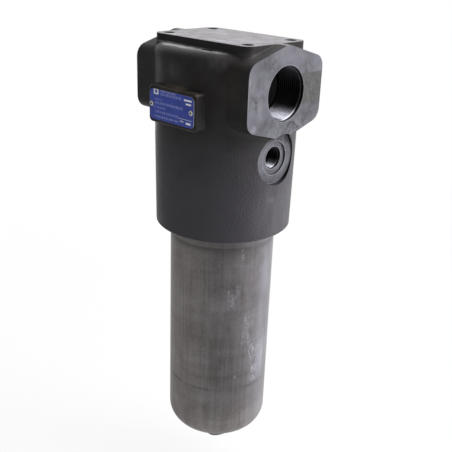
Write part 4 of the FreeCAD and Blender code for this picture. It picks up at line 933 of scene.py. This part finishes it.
def pleatGrid():
    # the radius swings out and in once a fold, and the sheet stands half its thickness to each side of that line
    p = pleats
    count = p["folds"] * p["points"]
    turn = np.arange(count) / count * 2 * math.pi
    swing = np.arcsin(p["sharpness"] * np.sin(turn * p["folds"])) / math.asin(p["sharpness"])
    radius = (p["inner"] + p["outer"]) / 2 + (p["outer"] - p["inner"]) / 2 * swing
    line = np.stack([radius * np.cos(turn), radius * np.sin(turn)], 1)
    ahead = np.roll(line, -1, 0) - np.roll(line, 1, 0)
    ahead /= np.linalg.norm(ahead, axis=1, keepdims=True)
    normal = np.stack([ahead[:, 1], -ahead[:, 0]], 1)
    levels = np.linspace(p["low"], p["high"], p["rows"])
    sides = ((line + normal * p["sheet"] / 2, levels), (line - normal * p["sheet"] / 2, levels[::-1]))
    return np.stack([np.column_stack([side, np.full(count, level)]) for side, rows in sides for level in rows])


surfacePiece("pleated_medium", [pleatGrid()], materials["filterMedium"], "head", ["element_pleats"],
             crease=60, closeRows=True)

# inner pieces that keep their solids
innerFinish = {
    "turnedSteel": ("element_spigot", "spring_seat", "bypass_seat", "bypass_cage", "bypass_poppet"),
    "tinnedSteel": ("element_upper_cap", "element_lower_cap", "element_core_tube"),
    "sealRubber": ("element_o_ring", "bowl_o_ring"),
    "pottingResin": ("element_upper_potting", "element_lower_potting"),
    "backupPlastic": ("bowl_backup_ring",), "sealCopper": ("bypass_seal",),
}
for finish, names in innerFinish.items():
    for name in names:
        nodes[name].material_slots[0].material = materials[finish]
print("inner pieces finished")

# camera, floor and light
photo = {"azimuth": 42.79, "elevation": 22.27, "roll": 2.1, "distance": 694.1, "focal": 691.3, "sidestep": 3.56,
         "level": -185.26, "pixels": 452, "sensor": 36.0, "clip": (0.01, 50.0)}


def addCamera():
    # looks along minus the back vector from the measured distance, then rolls about its own axis; the lens is the
    # focal length in pixels over the picture's width, times the sensor's
    azimuth, elevation, roll = (math.radians(photo[k]) for k in ("azimuth", "elevation", "roll"))
    back = Vector((math.sin(azimuth) * math.cos(elevation), -math.cos(azimuth) * math.cos(elevation),
                   math.sin(elevation)))
    right = Vector((math.cos(azimuth), math.sin(azimuth), 0))
    up = back.cross(right)
    side = right * math.cos(roll) + up * math.sin(roll)
    top = up * math.cos(roll) - right * math.sin(roll)
    data = bpy.data.cameras.new("photoCamera")
    data.sensor_width = photo["sensor"]
    data.lens = photo["focal"] / photo["pixels"] * photo["sensor"]
    data.clip_start, data.clip_end = photo["clip"]
    turn = Matrix((side, top, back)).transposed()
    where = (right * photo["sidestep"] + Vector((0, 0, photo["level"])) + back * photo["distance"]) * mm
    camera = addObject("photoCamera", data)
    camera.matrix_world = Matrix.Translation(where) @ turn.to_4x4()
    scene.camera = camera


studio = {
    "floorLevel": -472.0, "floorSize": 12.0, "floorTone": 0.8, "shadowShare": 0.12, "shadowReach": (0.35, 1.1),
    "surround": 0.42, "glossDark": 0.21, "glossBright": 1.15,
    "darkSide": (-0.1, -0.995, 0.0), "darkReach": (-0.5, 0.4),
    # softbox: name, place, aim, width, height, watts
    "lamps": [
        ("keyRight", (1.25, 0.85, 0.95), (0, 0, -0.15), 1.0, 1.2, 38.0),
        ("topBack", (0.0, 0.9, 1.35), (0, 0, -0.05), 1.4, 0.8, 14.0),
        ("leftBack", (-1.5, 0.7, 0.0), (0, 0, -0.25), 0.5, 1.4, 6.0),
    ],
}


def glossTone(look):
    # what a reflection sees that way: dark round one heading, bright on the other side
    towards = vectorCalc("DOT_PRODUCT", vectorCalc("NORMALIZE", look)[0], studio["darkSide"])["Value"]
    return span(towards, *studio["darkReach"], studio["glossBright"], studio["glossDark"], smooth=True)


def addFloor():
    # a pale sheet that the camera sees by its own white, so only the shadow near the object tones it; reflections
    # see that white on the lamp's side and less of it towards the viewer
    material = bpy.data.materials.new("paleFloor")
    startTree(material, cleared=True)
    path = addNode("LightPath").outputs
    glossy = path["Is Glossy Ray"]
    # 1 for what the camera sees, straight, in a reflection or through glass
    seen = calc("MAXIMUM", calc("MAXIMUM", path["Is Camera Ray"], glossy), path["Is Transmission Ray"])
    place = objectPlace()
    x, y, _ = split(place)
    toned = span(reachOf(x, y), *studio["shadowReach"], studio["shadowShare"], 0.0, smooth=True)
    dimmed = total(product(glossy, glossTone(place)), restOf(glossy))
    matt = addNode("BsdfDiffuse", {"Color": (studio["floorTone"],) * 3 + (1,)})
    white = addNode("Emission", {"Color": (1, 1, 1, 1), "Strength": dimmed})
    share = product(seen, restOf(toned))
    both = addNode("MixShader", {0: share, 1: matt.outputs[0], 2: white.outputs[0]})
    addNode("OutputMaterial", {0: both.outputs[0]})
    half, level = studio["floorSize"] / 2, studio["floorLevel"] * mm
    mesh = bpy.data.meshes.new("floor")
    mesh.from_pydata([(-half, -half, level), (half, -half, level), (half, half, level), (-half, half, level)], [],
                     [(0, 1, 2, 3)])
    mesh.materials.append(material)
    floor = addObject("floor", mesh)


def addLamps():
    # each softbox faces its aim
    for name, place, aim, width, height, watts in studio["lamps"]:
        data = bpy.data.lights.new(name, "AREA")
        data.shape, data.size, data.size_y, data.energy = "RECTANGLE", width, height, watts
        away = Vector(place) - Vector(aim)
        turn = away.to_track_quat("Z", "Y").to_matrix().to_4x4()
        addObject(name, data).matrix_world = Matrix.Translation(place) @ turn


def addSurround():
    # white to the camera, darker to reflections on the side the photograph was taken from, dim for the rest
    world = bpy.data.worlds.new("studio")
    scene.world = world
    startTree(world, cleared=True)
    path = addNode("LightPath").outputs
    glossy = path["Is Glossy Ray"]
    gloss = glossTone(addNode("TexCoord").outputs["Generated"])
    direct = calc("MAXIMUM", path["Is Camera Ray"], path["Is Transmission Ray"])
    strength = total(product(glossy, gloss), product(restOf(glossy), studio["surround"]))
    strength = calc("MAXIMUM", strength, direct)
    glow = addNode("Background", {"Color": (1, 1, 1, 1), "Strength": strength})
    addNode("OutputWorld", {0: glow.outputs[0]})


addCamera()
addFloor()
addLamps()
addSurround()
scene.view_settings.view_transform = "Standard"
print("studio set")
